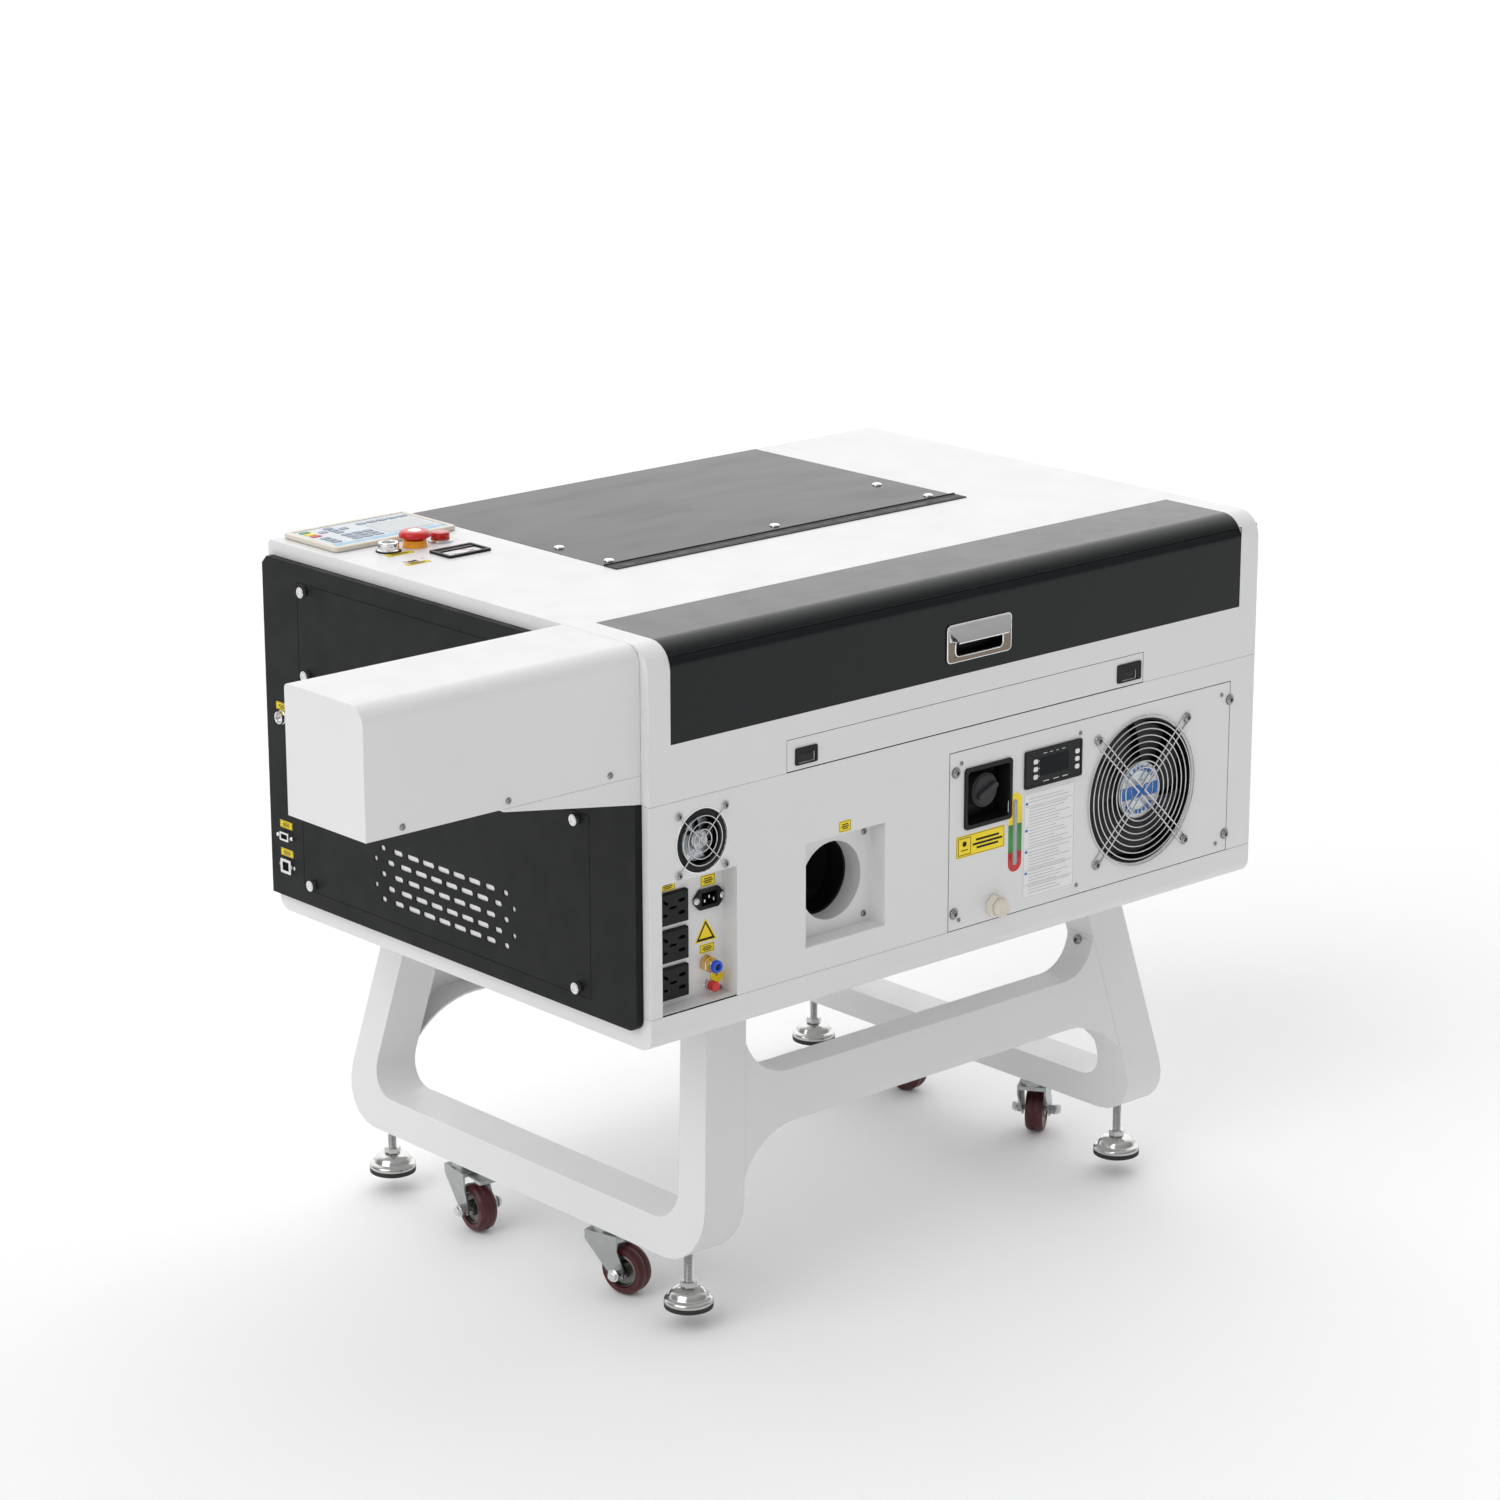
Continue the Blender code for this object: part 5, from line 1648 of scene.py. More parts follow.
@dataclass
class Chiller:
    """The white chiller panel with its filler, gauge and controller."""

    rear: float = REAR_WALL
    filler_at: tuple[float, float] = (-29.7, 619.3)
    cap_at: tuple[float, float] = (-32.0, 622.0)
    filler_label_at: tuple[float, float] = (-17.7, 559.2)
    gauge_at: tuple[float, float] = (-78.0, 559.5)
    controller_at: tuple[float, float] = (-143.5, 635.5)
    key_rows: tuple[float, ...] = (9.4, -0.4, -10.4)
    sheet_at: tuple[float, float] = (-138.7, 536.5)
    rules: tuple[float, ...] = (51, 24, -4, -32, -52)
    drain_at: tuple[float, float] = (-42.0, 472.0)

    def wall(self, at: tuple[float, float], roll: float = 0.0) -> Matrix:
        """Returns a place on the panel."""
        return seat(Face.REAR, at[0], self.rear, at[1], roll)

    def build(self) -> None:
        """Builds the panel and everything on it but the fan."""
        skin("chiller_panel", WHITE, 0.9, steps=3)
        self.filler()
        self.gauge()
        self.controller()
        self.sheet()
        self.drain()
        self.screws()
        label("filler_label", self.wall(self.filler_label_at), 84, 28)

    def screws(self) -> None:
        """Sets the panel's big button heads and small screws."""
        big = ((26.0, 656.8), (-471.4, 658.2), (-468.7, 476.5), (27.3, 475.6))
        put(copies(screw(6.2, 3.2, washer=7.6),
                   [self.wall(at, 17 * n) for n, at in enumerate(big)]),
            "panel_bolts", SCREW_STEEL)
        small = ((16.7, 667.0), (-455.5, 667.2), (-451.7, 466.4), (18.5, 465.8),
                 (-192.7, 666.0), (-190.3, 466.0))
        put(copies(screw(3.0, 1.5, Socket.CROSS),
                   [self.wall(at, 31 * n) for n, at in enumerate(small)]),
            "panel_screws", SCREW_STEEL)

    def filler(self) -> None:
        """Builds the black filler bezel, its cup and the cap."""
        place = self.wall(self.filler_at)
        bezel = plate([rounded(82.6, 79.0, 5), rounded(73, 68, 5)],
                      0.05, 2.6, 0.9, 3)
        put(bezel, "filler_bezel", PLASTIC, ROOT, place)
        cup = plate([rounded(76, 72, 5.5)], -26.8, 1.0, 0)
        sunk(cup, 1.6, 26.4, taper=0.94)
        put(ease(cup, 0.5), "filler_cup", PLASTIC, ROOT, place)
        rim = plate([fluted(22.1, 0.35, 32, 96)], -25.2, -7.5, 1.2, 3)
        crown = turned([(19.6, -7.8), (19.6, -6.6), (18.2, -5.6), (8, -5.3)], 48)
        grip = moved(block((-17.6, -4.2, -7.0), (17.6, 4.2, 0.4), 3.6, "z", 1.3),
                     Matrix.Rotation(math.radians(24), 4, "Z"))
        put(joined([rim, crown, grip]), "filler_cap_knob", GREY_BLACK, "filler_cap",
            self.wall(self.cap_at), ("filler_cap",))

    def gauge(self) -> None:
        """Builds the level gauge: three coloured zones and a clear window."""
        place = self.wall(self.gauge_at)
        whole = rounded(24, 103, 11.9, steps=12)
        zones = (("gauge_low", RED_PRINT, -60, -25.5), ("gauge_fill", GREEN, -25.5, 10.5),
                 ("gauge_full", YELLOW, 10.5, 60))
        for name, finish, low, high in zones:
            part = plate([whole], 0.05, 0.35, 0)
            with editing(part):
                for level, way in ((low, -1), (high, 1)):
                    bpy.ops.mesh.select_all(action="SELECT")
                    bpy.ops.mesh.bisect(plane_co=(0, level, 0),
                                        plane_no=(0, way, 0),
                                        clear_outer=True, use_fill=True)
            put(part, name, finish, ROOT, place)
        frame_edge = plate([rounded(25.4, 104.4, 12.6, steps=12),
                            rounded(23.8, 102.8, 11.8, steps=12)], 0.05, 0.6, 0.1)
        put(frame_edge, "gauge_border", PAPER, ROOT, place)
        slot = plate([rounded(7.4, 86, 3.7)], 0.35, 0.9, 0.2)
        put(slot, "gauge_window", INK_GREY, ROOT, place)
        tube = block((-1.9, -41, 0.85), (1.9, 41, 1.5), 1.8, "z", 0.2)
        put(tube, "gauge_tube", CLEAR_CAP, ROOT, place)

    def controller(self) -> None:
        """Builds the temperature controller with its keys and window."""
        place = self.wall(self.controller_at)
        body = plate([rounded(102, 49, 3.0)], 0.05, 3.2, 1.0, 3)
        sunk(body, 2.2, 0.6, least=2000)
        put(ease(body, 0.15), "controller_body", GLOSS_BLACK, ROOT, place)
        window = plate([rounded(50, 24, 1.5, 1, 1)], 2.6, 3.0, 0.15)
        put(window, "controller_window", DARK_GLASS, ROOT, place)
        keys = copies(plate([rounded(7.6, 6.2, 2.4)], 2.5, 3.9, 0.5),
                      [Matrix.Translation((x, y, 0)) for x in (-33.2, 41)
                       for y in self.key_rows])
        put(keys, "controller_keys", PALE, ROOT, place)
        ticks = [rounded(6 - n % 3, 0.7, 0.2, -16 + 10.8 * n, 17.8)
                 for n in range(4)]
        ticks += [rounded(10, 0.8, 0.2, x, -18.4) for x in (-14, 4, 20)]
        ticks += [rounded(1.2, 1.2, 0.5, -26.5, y) for y in self.key_rows]
        put(plate(ticks, 2.62, 2.78, 0), "controller_marks", PAPER, ROOT, place)

    def sheet(self) -> None:
        """Builds the instruction sheet with plain rules and bars."""
        place = self.wall(self.sheet_at)
        put(plate([rounded(92.6, 139, 1.5)], 0.05, 0.35, 0), "sheet", PAPER,
            ROOT, place)
        border = [rounded(89.6, 136, 0.8), rounded(88.8, 135.2, 0.6)]
        rules = [rounded(84, 0.5, 0.1, 0, y) for y in self.rules]
        lines, y, n = [], 60.5, 0
        while y > -64:
            if min(abs(y - r) for r in self.rules) > 1.6:
                wide = 60 + 14 * math.sin(n * 2.3)
                lines.append(rounded(wide, 0.6, 0.2, -42 + 6 + wide / 2, y))
            y, n = y - 4.1, n + 1
        marks = [plate(border, 0.35, 0.45, 0), plate(rules, 0.35, 0.45, 0),
                 plate(lines, 0.35, 0.45, 0)]
        put(joined(marks), "sheet_print", INK_GREY, ROOT, place)
        points = [rounded(4.6, 3.2, 0.6, -40.2, y) for y in (55, 20, -8, -36)]
        put(plate(points, 0.35, 0.46, 0), "sheet_points", BLUE, ROOT, place)

    def drain(self) -> None:
        """Builds the hexagonal drain cap."""
        body = turned([(13.8, 0.1), (15.0, 1.0), (15.0, 8.8), (13.6, 10.2),
                       (10.4, 10.2)], 6, edge=0.8, angle=20)
        nose = turned([(10.6, 9.8), (11.2, 10.6), (11.2, 17.6), (9.9, 20.0),
                       (7.4, 20.2), (6.8, 19.4)], 40, edge=0.4)
        put(joined([body, nose]), "drain_cap_body", CREAM, "drain_cap",
            self.wall(self.drain_at, 10), ("drain_cap",))


@dataclass
class TopControls:
    """Everything on the flat right-hand part of the top."""

    top: float = TOP_WALL
    row: float = -212.8
    key_x: float = 446.0
    stop_x: float = 405.0
    laser_x: float = 365.0
    meter_at: tuple[float, float] = (382.0, -150.5)
    keypad_at: tuple[float, float] = (407.0, -303.0)
    port_at: tuple[float, float] = (459.0, -148.0)
    hinge_front: float = 27.3
    hinge_rear: float = 52.8

    def build(self) -> None:
        """Builds the controls, the meter, the keypad and the hinge."""
        self.hinge()
        self.stop_button()
        self.laser_button()
        self.key_switch()
        self.meter()
        self.keypad()
        label("laser_label", seat(Face.TOP, 445, -192, self.top), 40, 12, False)
        label("port_label", seat(Face.TOP, 457, -138.5, self.top), 36, 10, False)
        put(copies(screw(2.4, 1.1, Socket.CROSS),
                   [seat(Face.TOP, x, y, self.top, x)
                    for x, y in ((468.6, -152.6), (438.9, -154.2))]),
            "port_screws", SATIN_CHROME)
        mouth = rounded(12.6, 4.6, 0.4, *self.port_at)
        port = plate([rounded(17, 8.6, 1.2, *self.port_at), mouth],
                     self.top, self.top + 0.9, 0.25)
        put(port, "port_shell", SATIN_CHROME)
        put(plate([mouth], self.top, self.top + 0.2, 0), "port_dark", INSIDE)

    def hinge(self) -> None:
        """Builds the lid's hinge strip, with its grooves, and the hinge pin."""
        low, high = self.hinge_front, self.hinge_rear
        strip = block((-299.5, low + 4.2, self.top), (299.5, high, self.top + 1.6),
                      0, "z", 0.4)
        grooves = [block((-299, y - 0.5, self.top + 1.2),
                         (299, y + 0.5, self.top + 2.5), 0, "z", 0)
                   for y in (low + 9.5, high - 4.5)]
        put(ease(cut(strip, joined(grooves)), 0.15), "hinge_strip", GREY_BLACK)
        pins = wire([(-299, low + 2.2, self.top + 1.2),
                     (299, low + 2.2, self.top + 1.2)], 1.9, sides=4)
        put(pins, "hinge_pin", PLASTIC)

    def stop_button(self) -> None:
        """Builds the stop button, its collar and its silver cap."""
        place = seat(Face.TOP, self.stop_x, self.row, self.top)
        collar = turned([(15.6, 0), (15.6, 2.2), (14.6, 3.2), (14.6, 8.2),
                         (13.8, 9.2), (10.9, 9.2), (10.9, 0)], 48, ring=True,
                        edge=0.3)
        put(collar, "stop_collar", ORANGE, ROOT, place)
        head = turned([(10.4, 0.5), (10.4, 13.7), (15.0, 13.7), (15.3, 11.8),
                       (17.8, 11.8), (19.7, 12.8),
                       (20, 14.6), (19.6, 17.2), (18.0, 19.4), (15.0, 20.5),
                       (10.2, 20.9), (9.4, 20.4), (8.6, 20.3)], 64, angle=50)
        put(head, "stop_head", RED, "emergency_stop_button", place,
            ("emergency_stop_button",))
        cap = turned([(8.9, 20.0), (8.9, 20.7), (8.3, 21.0), (2.5, 21.0)], 40)
        put(cap, "stop_cap", SATIN_CHROME, "emergency_stop_button", place)

    def laser_button(self) -> None:
        """Builds the lit laser button and its bezel."""
        place = seat(Face.TOP, self.laser_x, self.row, self.top)
        bezel = turned([(15.4, 0), (15.4, 1.6), (14.4, 2.8), (12.9, 2.8),
                        (12.4, 2.2), (12.4, 0)], 48, ring=True, edge=0.25)
        put(bezel, "laser_bezel", FOOT_CHROME, ROOT, place)
        ring = turned([(12.9, 2.6), (12.7, 3.8), (12.3, 3.8), (12.3, 2.4)], 48,
                      ring=True)
        put(ring, "laser_ring", SATIN_CHROME, ROOT, place)
        lens = turned([(11.9, 3.2), (11.9, 10.6), (11.2, 12.2), (9.6, 12.7),
                       (3, 12.7)], 48)
        put(lens, "laser_lens", RED_CLEAR, "laser_button", place,
            ("laser_button",))
        core = turned([(10.3, 3.3), (10.3, 10.4), (4, 10.4)], 40)
        put(core, "laser_lamp", RED_PRINT, "laser_button", place)

    def key_switch(self) -> None:
        """Builds the key switch."""
        place = seat(Face.TOP, self.key_x, self.row, self.top)
        collar = turned([(16.2, 0), (16.2, 1.4), (15.2, 2.0), (14.9, 2.0),
                         (14.9, 0)], 48, ring=True)
        put(collar, "key_collar", PLASTIC, ROOT, place)
        barrel = turned([(14.7, 0.35), (14.7, 2.6), (13.2, 3.4), (13.2, 10.6),
                         (12.4, 11.8), (9.6, 12.0), (9.2, 11.2), (3, 11.2)], 56,
                        edge=0.2)
        slot = block((-1.1, -5.2, 8), (1.1, 5.2, 14), 0.3, "z", 0)
        put(ease(cut(barrel, slot), 0, angle=40), "key_barrel", CHROME,
            "key_switch", place, ("key_switch",))
        face = plate([circle(9.0), rounded(2.6, 10.8, 0.4)], 11.2, 11.6, 0.1)
        put(face, "key_face", GREY_GREEN, "key_switch", place)

    def meter(self) -> None:
        """Builds the current meter: frame, dial, scale and needle."""
        place = seat(Face.TOP, *self.meter_at, self.top)
        bezel = plate([rounded(66, 43, 2.5), rounded(58, 34, 1.5)],
                      0.05, 3.4, 0.9, 3)
        put(bezel, "meter_bezel", PLASTIC, ROOT, place)
        put(plate([rounded(58, 34, 1.5)], 0.05, 0.6, 0), "meter_dial", PAPER,
            ROOT, place)
        arc = [(26 * math.sin(math.radians(a)), -17 + 26 * math.cos(math.radians(a)))
               for a in range(-48, 49, 4)]
        arc += [(x * 0.965, (y + 17) * 0.965 - 17) for x, y in reversed(arc)]
        ticks = []
        for n in range(11):
            a = math.radians(-48 + 9.6 * n)
            long = 4.4 if n % 5 == 0 else 2.6
            ticks.append([(math.sin(a) * r + math.cos(a) * w,
                           -17 + math.cos(a) * r - math.sin(a) * w)
                          for r, w in ((26, -0.25), (26, 0.25),
                                       (26 + long, 0.25), (26 + long, -0.25))])
        put(joined([plate([arc], 0.6, 0.72, 0)]
                   + [plate([tick], 0.6, 0.72, 0) for tick in ticks]),
            "meter_scale", INK, ROOT, place)
        needle = plate([[(-0.5, -15), (0.5, -15), (-16.2, 9), (-16.6, 8.8)]],
                       1.0, 1.3, 0)
        put(needle, "meter_needle", RED_PRINT, ROOT, place)
        foot = block((-29, -17, 0.7), (29, -8.5, 2.4), 0, "z", 0.4)
        put(foot, "meter_foot", PLASTIC, ROOT, place)

    def keypad(self) -> None:
        """Builds the keypad: bezel, overlay, keys and display."""
        place = seat(Face.TOP, *self.keypad_at, self.top)
        bezel = plate([rounded(190, 114, 7)], 0.3, 6.8, 2.2, 4)
        sunk(bezel, 5.5, 0.9, least=5000)
        put(ease(bezel, 0.25), "keypad_bezel", CREAM, ROOT, place, ("keypad",))
        overlay = plate([rounded(174, 98, 3)], 5.8, 6.15, 0.1)
        put(overlay, "keypad_overlay", OVERLAY, ROOT, place)
        strip = plate([rounded(174, 13, 1.5, 0, 42)], 6.1, 6.3, 0.05)
        put(strip, "keypad_strip", SKY, ROOT, place)
        screen = plate([rounded(72, 52, 1.5, -44, 4)], 6.1, 6.45, 0.1)
        put(screen, "keypad_screen", SCREEN, ROOT, place)
        key = plate([rounded(13.5, 8.4, 1.6)], 6.1, 6.9, 0.3)
        grid = [Matrix.Translation((x, y, 0)) for x in (6, 22.5, 39, 71.5)
                for y in (26, 14.5, 3)]
        grid += [Matrix.Translation((-76 + 16.2 * n, -34, 0)) for n in range(5)]
        put(copies(key, grid), "keypad_keys", KEY_GREY, ROOT, place)
        pad = plate([rounded(11.5, 9, 1.6)], 6.1, 6.9, 0.3)
        cross = [Matrix.Translation((x, y, 0)) for x, y in
                 ((38, -14), (38, -38), (22, -26), (54, -26), (38, -26))]
        put(copies(pad, cross), "keypad_arrows", KEY_GREY, ROOT, place)
        for name, finish, y in (("stop", RED_PRINT, -14), ("start", GREEN, -38),
                                ("frame", YELLOW, -26)):
            put(plate([rounded(14, 9, 1.6, 74, y)], 6.1, 6.9, 0.3),
                f"keypad_{name}_key", finish, ROOT, place)


@dataclass
class WindowLid:
    """The smoked front lid and its bolts."""

    body: str = "window_lid"
    bolts: tuple[tuple[float, float], ...] = ((278.0, -84.0), (276.5, 11.0), (-2.7, 6.0),
                                              (-265.0, -82.0), (-269.0, 11.6))

    def build(self) -> None:
        """Builds the lid and its bolts."""
        skin("window_lid", SMOKED, 0.7, self.body, 3)
        heads = [seat(Face.TOP, x, y, TOP_WALL - 0.05, 12 * n)
                 for n, (x, y) in enumerate(self.bolts)]
        head = turned([(5.6, 0), (6.4, 0.3), (6.4, 1.2), (5.6, 2.4), (3.4, 3.0),
                       (1.5, 3.1)], 28, angle=45)
        put(copies(head, heads), "lid_bolts", CHROME, self.body)


@dataclass
class SidePanel:
    """The black side cover with its two loose doors, vents and ports."""

    face: float = SIDE_WALL
    rows: tuple[tuple[float, int], ...] = ((550.6, 9), (534.0, 10), (517.0, 9),
                                           (500.0, 10), (484.0, 9))
    pitch: float = 30.4
    middle: float = -8.0
    port_y: float = -334.0
    port_labels: tuple[float, ...] = (690.5, 534.0, 496.7)
    round_z: float = 676.8
    data_z: float = 519.0
    network_z: float = 479.0

    def build(self) -> None:
        """Builds both side covers, the doors and the fittings."""
        for side in ("right", "left"):
            skin(f"side_panel_{side}", BLACK, 0.8, steps=3)
        skin("service_door_upper", BLACK, 0.6, "service_door_upper")
        self.vented_door()
        self.thumb_screws()
        self.ports()

    def vented_door(self) -> None:
        """Cuts the five rows of vents, and sets the pale baffle behind."""
        door = node_copy("service_door_lower")
        slots = []
        for z, count in self.rows:
            for n in range(count):
                y = self.middle + (n - (count - 1) / 2) * self.pitch
                reach = (130 - abs(y - self.middle)) / 58
                wide = 7.0 + 17.0 * max(0.0, min(1.0, reach))
                slots.append(moved(plate([rounded(wide, 6.8, 3.3, steps=4)],
                                         -8, 8, 0),
                                   seat(Face.RIGHT, self.face, y, z)))
        obj = ease(cut(door, joined(slots)), 0.35)
        put(obj, "service_door_lower_shell", BLACK, "service_door_lower",
            stands_for=("service_door_lower",))
        baffle = block((525.2, -186, 470), (526.9, 172, 564), 3, "x", 0.3)
        put(baffle, "vent_baffle", PALE, "service_door_lower")

    def thumb_screws(self) -> None:
        """Sets the knurled thumb screws on both doors."""
        knob = joined([plate([fluted(7.04, -0.14, 28, 56)], 1.2, 7.2, 0.3),
                       turned([(5.2, 0), (5.2, 1.4), (3, 1.4)], 28),
                       turned([(6.0, 7.0), (5.6, 7.9), (3.2, 8.0), (2.8, 7.4)], 32)])
        spots = {"service_door_upper": ((-279, 849.6), (-276.5, 742),
                                        (155, 849.6), (155, 742)),
                 "service_door_lower": ((-278, 674.5), (-278, 466.7),
                                        (250.9, 674.5), (250.3, 467.2))}
        for body, places in spots.items():
            heads = copies(twin(knob), [seat(Face.RIGHT, self.face, y, z, 9 * n)
                                        for n, (y, z) in enumerate(places)])
            put(heads, f"{body}_screws", SATIN_CHROME, body)
        bpy.data.objects.remove(knob)

    def wall(self, z: float) -> Matrix:
        """Returns a place in the row of ports."""
        return seat(Face.RIGHT, self.face, self.port_y, z)

    def ports(self) -> None:
        """Sets the three ports and their labels near the front edge."""
        for n, z in enumerate(self.port_labels):
            label(f"side_label_{n + 1}", self.wall(z), 26, 9.5, False)
        round_port = turned([(9.2, 0), (9.2, 2.0), (8.2, 3.0), (8.2, 7.0),
                             (7.0, 7.4), (6.2, 6.8), (6.0, 3.0), (2, 3.0)], 40,
                            edge=0.2)
        put(round_port, "round_port", SATIN_CHROME, ROOT,
            self.wall(self.round_z))
        place = self.wall(self.data_z)
        shell = plate([rounded(19, 11.5, 1.5), rounded(13.4, 6.4, 1.2)],
                      0.05, 4.6, 0.35)
        posts = copies(turned([(2.9, 0), (2.9, 3.6), (1.9, 4.6), (1, 4.6)], 6),
                       [Matrix.Translation((x, 0, 0)) for x in (-14.4, 14.4)])
        put(joined([shell, posts]), "data_port", SATIN_CHROME, ROOT, place)
        put(plate([rounded(13.4, 6.4, 1.2)], 0.05, 0.8, 0), "data_port_dark",
            INSIDE, ROOT, place)
        place = self.wall(self.network_z)
        frame_part = plate([rounded(22, 19, 1.6), rounded(13, 11.5, 0.5)],
                           0.05, 3.4, 0.4)
        put(frame_part, "network_port", SATIN_CHROME, ROOT, place)
        put(plate([rounded(13, 11.5, 0.5)], 0.05, 0.7, 0), "network_port_dark",
            INSIDE, ROOT, place)
        put(copies(screw(2.6, 1.3, Socket.CROSS),
                   [place @ Matrix.Translation((x, 0, 0)) for x in (-14.5, 14.5)]),
            "network_port_screws", SATIN_CHROME)


@dataclass
class Stand:
    """The hollow splayed frames and the shaped beams between them."""

    bolt_x: float = 300.6
    bolt_y: float = 269.0
    bolt_z: float = 343.0

    def build(self) -> None:
        """Builds the frames, the beams and the bolts."""
        for node in ("stand_frame_right", "stand_frame_left",
                     "stand_beam_rear", "stand_beam_front"):
            skin(node, WHITE, 1.6, steps=3)
        places = [seat(face, side * self.bolt_x, end * self.bolt_y, self.bolt_z)
                  for end in (-1, 1)
                  for side, face in ((-1, Face.RIGHT), (1, Face.LEFT))]
        put(copies(screw(7.4, 4.2), places), "beam_bolts", SCREW_STEEL)


@dataclass
class Foot:
    """One leveling foot: rubber pad, two-step bell, nut and stud."""

    end: str
    side: str
    x: float
    y: float
    pad: float = 24.0

    def build(self) -> None:
        """Builds the foot at its place."""
        name = f"leveling_foot_{self.end}_{self.side}"
        place = Matrix.Translation((self.x, self.y, self.pad))
        rubber = turned([(29.0, 0), (30.6, 0.8), (30.8, 6.4), (30.0, 7.4),
                         (20, 7.4)], 56, angle=40)
        put(rubber, f"foot_pad_{self.end}_{self.side}", RUBBER, name, place,
            (name,))
        bell = turned([(30.4, 6.6), (30.9, 8.6), (30.3, 11.2), (28.4, 13.2),
                       (25.6, 14.0), (24.4, 15.4), (23.4, 18.8), (21.2, 21.8),
                       (17.6, 24.0), (12.8, 25.4), (6, 25.9)], 56, angle=62)
        nut = turned([(9.6, 25.6), (10.9, 26.4), (10.9, 33.2), (9.6, 34.2),
                      (6, 34.2)], 6, edge=0.5, angle=20)
        turns, pitch = 42, 1.75
        profile = [(5.4, 33.0)]
        for n in range(turns):
            low = 33.6 + n * pitch
            profile += [(6.0, low + pitch * 0.35), (5.2, low + pitch * 0.85)]
        stud = turned(profile + [(4.6, 109.5), (2, 109.6)], 20, angle=25)
        parts = joined([bell, nut, stud])
        put(parts, f"foot_bell_{self.end}_{self.side}", FOOT_CHROME, name, place)


@dataclass
class Caster:
    """One swivel caster: its fork, its wheel and, in front, its brake pedal."""

    end: str
    side: str
    radius: float = 32.0
    half: float = 12.5

    def build(self) -> None:
        """Builds the caster round its frame nodes."""
        key = f"{self.end}_{self.side}"
        fork, wheel = f"caster_fork_{key}", f"caster_wheel_{key}"
        skin(fork, ZINC, 0.7, fork, 2)
        joint = next(j for j in frame["joints"] if j["child"] == wheel)
        axis, axle = Vector(joint["axis"]).normalized(), Vector(joint["pos_m"])
        up = Vector((0, 0, 1))
        turn = Matrix((up.cross(axis), up, axis)).transposed().to_4x4()
        place = Matrix.Translation(machine().inverted() @ axle) @ turn
        self.wheel(key, wheel, place)
        self.nuts(key, fork, place, self.fork_half(fork, axle, axis))
        if self.end == "front":
            skin(f"brake_pedal_{key}", ZINC, 0.6, f"brake_pedal_{key}")

    def wheel(self, key: str, body: str, place: Matrix) -> None:
        """Builds the twin-bead tyre and its hub.

        Args:
            key: Which caster.
            body: The wheel's body.
            place: The axle's place.
        """
        r, h = self.radius - 0.1, self.half - 0.4
        tyre = turned([(r * 0.70, -h), (r * 0.90, -h), (r * 0.975, -h * 0.78),
                       (r, -h * 0.50), (r * 0.985, -h * 0.22), (r * 0.94, 0),
                       (r * 0.985, h * 0.22), (r, h * 0.50),
                       (r * 0.975, h * 0.78), (r * 0.90, h), (r * 0.70, h),
                       (r * 0.66, h * 0.8), (r * 0.66, -h * 0.8)], 72,
                      ring=True, angle=40)
        put(tyre, f"caster_tyre_{key}", TREAD, body, place,
            (f"caster_wheel_{key}",))
        hub = turned([(r * 0.655, -h * 0.86), (r * 0.655, h * 0.86),
                      (r * 0.60, h * 0.92), (r * 0.56, h * 0.60),
                      (r * 0.34, h * 0.55), (r * 0.31, h * 0.99),
                      (r * 0.14, h * 0.99), (r * 0.14, -h * 0.99),
                      (r * 0.31, -h * 0.99), (r * 0.34, -h * 0.55),
                      (r * 0.56, -h * 0.60), (r * 0.60, -h * 0.92)], 56,
                     ring=True, angle=35)
        put(hub, f"caster_hub_{key}", HUB_GREY, body, place)

    def nuts(self, key: str, body: str, place: Matrix, reach: float) -> None:
        """Builds the axle's nuts and washers.

        Args:
            key: Which caster.
            body: The fork's body.
            place: The axle's place.
            reach: How far from the wheel's middle they stand.
        """
        nut = turned([(5.6, 0), (6.4, 0.6), (6.4, 4.0), (5.6, 4.6), (3, 4.6)],
                     6, edge=0.3, angle=20)
        washer = turned([(8.2, -1.0), (8.2, 0.2), (7.8, 0.5), (5, 0.5)], 32)
        cap = joined([washer, nut])
        ends = [place @ Matrix.Translation((0, 0, reach)),
                place @ Matrix.Translation((0, 0, -reach))
                @ Matrix.Rotation(math.pi, 4, "X")]
        put(copies(cap, ends), f"caster_nuts_{key}", SATIN_CHROME, body)

    def fork_half(self, fork: str, axle: Vector, axis: Vector) -> float:
        """Measures the fork near its axle.

        Args:
            fork: The fork's frame node.
            axle: The axle's middle, in the row frame.
            axis: The axle's direction.

        Returns:
            Half the width over the fork's cheeks.
        """
        reach = [abs((v.co - axle).dot(axis))
                 for v in frame["nodes"][fork].data.vertices
                 if (v.co - axle).length < 0.030]
        return max(reach) / MM


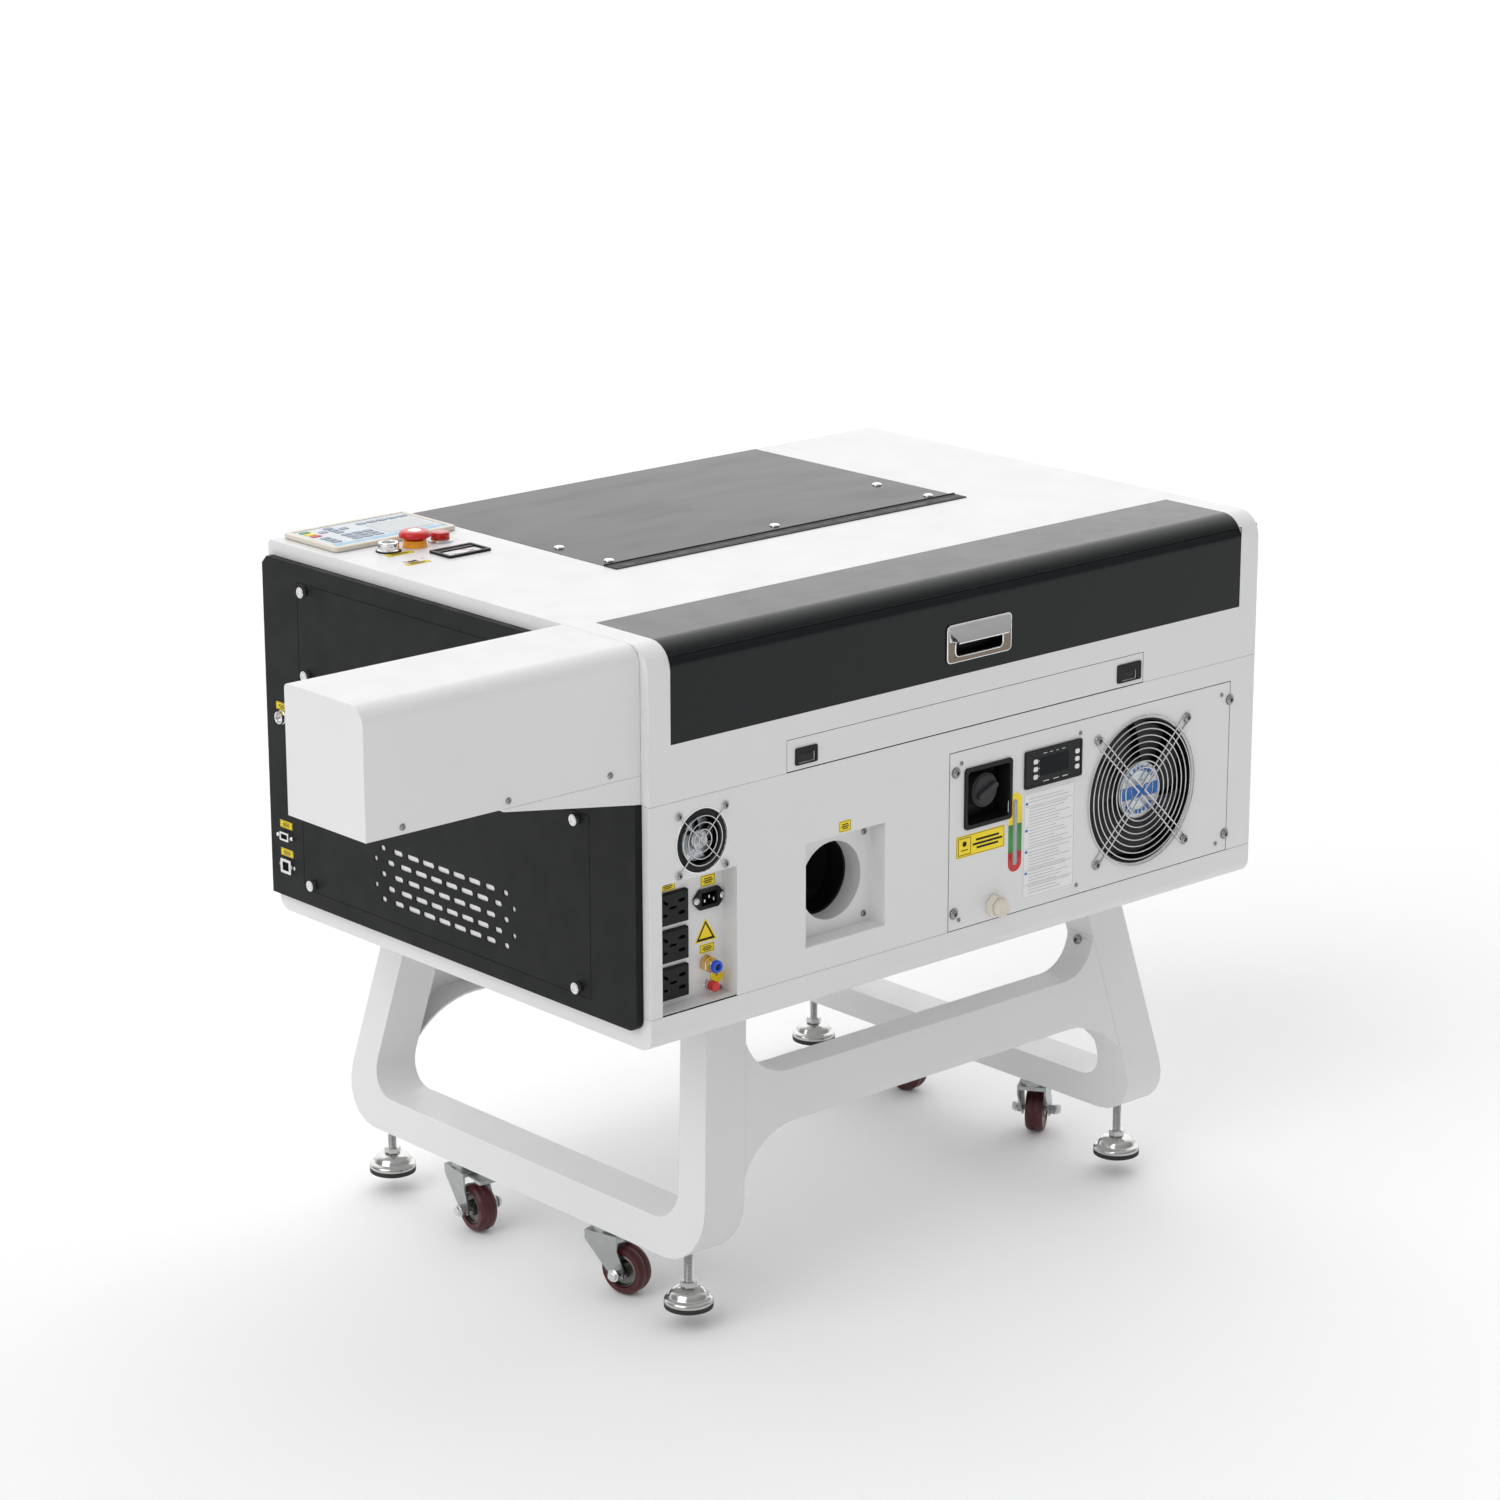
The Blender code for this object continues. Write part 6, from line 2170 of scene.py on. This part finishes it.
@dataclass
class Mechanism:
    """What the lids hide: tube, optics, gantry, head, table and drawer."""

    def build(self) -> None:
        """Builds the inside."""
        self.tube()
        for node in ("tube_holder_right", "tube_holder_left", "first_mirror"):
            skin(node, ALUMINIUM, 0.7)
        skin("gantry_beam", ALUMINIUM, 0.6, "gantry_beam")
        skin("laser_head", ALUMINIUM, 0.7, "laser_head")
        for side in ("right", "left"):
            skin(f"rail_{side}", STEEL, 0.5)
        skin("work_table", ALUMINIUM, 0.8, "work_table")
        skin("scrap_drawer", WHITE, 0.8, "scrap_drawer")
        skin("water_tank", PALE, 6.0, steps=4)
        skin("power_supply", STEEL, 1.2)
        self.bed()

    def tube(self) -> None:
        """Builds the glass tube, its inner bore and its end caps."""
        low, high = node_box("laser_tube")
        y, z = (low.y + high.y) / 2, (low.z + high.z) / 2
        long = high.x - low.x
        place = Matrix.Translation((low.x, y, z)) @ Matrix.Rotation(
            math.pi / 2, 4, "Y")
        outer = turned([(12, 0), (12, 14), (30, 22), (39.6, 34),
                        (39.6, long - 34), (30, long - 22), (12, long - 14),
                        (12, long), (9.5, long), (9.5, long - 16),
                        (28, long - 26), (37.2, long - 38), (37.2, 38),
                        (28, 26), (9.5, 16), (9.5, 0)], 56, ring=True, angle=50)
        put(outer, "tube_glass_wall", GLASS, ROOT, place, ("laser_tube",))
        bore = turned([(8.0, 60), (8.0, long - 60), (6.6, long - 60), (6.6, 60)],
                      32, ring=True)
        put(bore, "tube_bore", GLASS, ROOT, place)
        poles = joined([turned([(13, a), (14.5, a + 2), (14.5, a + 40), (13, a + 42),
                                (8.2, a + 42), (8.2, a)], 40, ring=True)
                        for a in (70, long - 112)])
        put(poles, "tube_electrodes", SATIN_CHROME, ROOT, place)
        ends = joined([turned([(13.6, a), (14.6, a + 1), (14.6, a + 11),
                               (13.6, a + 12), (12.1, a + 12), (12.1, a)], 40,
                              ring=True) for a in (0.2, long - 12.2)])
        put(ends, "tube_collars", BRASS, ROOT, place)

    def bed(self) -> None:
        """Lays the honeycomb panel in the table."""
        low, high = node_box("work_table")
        panel = block((low.x + 14, low.y + 14, high.z - 1.0),
                      (high.x - 14, high.y - 14, high.z + 1.2), 2, "z", 0.3)
        put(panel, "honeycomb_panel", HONEYCOMB, "work_table")


FOOT_ROWS = (("rear", 272.0), ("front", -328.0))
FOOT_SIDES = (("right", 380.0), ("left", -380.0))


def main() -> None:
    """Builds every sub-assembly in order."""
    parts = [Studio(), Cabinet(), Seams(), TubeLid(), RearFlap(), SmallFan(), BigFan(),
             SocketPanel(), ExhaustPort(), Chiller(), TopControls(),
             WindowLid(), SidePanel(), Stand(), Mechanism()]
    for end, y in FOOT_ROWS:
        for side, x in FOOT_SIDES:
            parts += [Foot(end, side, x, y), Caster(end, side)]
    for part in parts:
        LOG.info("Building %s", type(part).__name__)
        part.build()


if __name__ == "__main__":
    logging.basicConfig(level=logging.INFO, format="%(message)s")
    main()
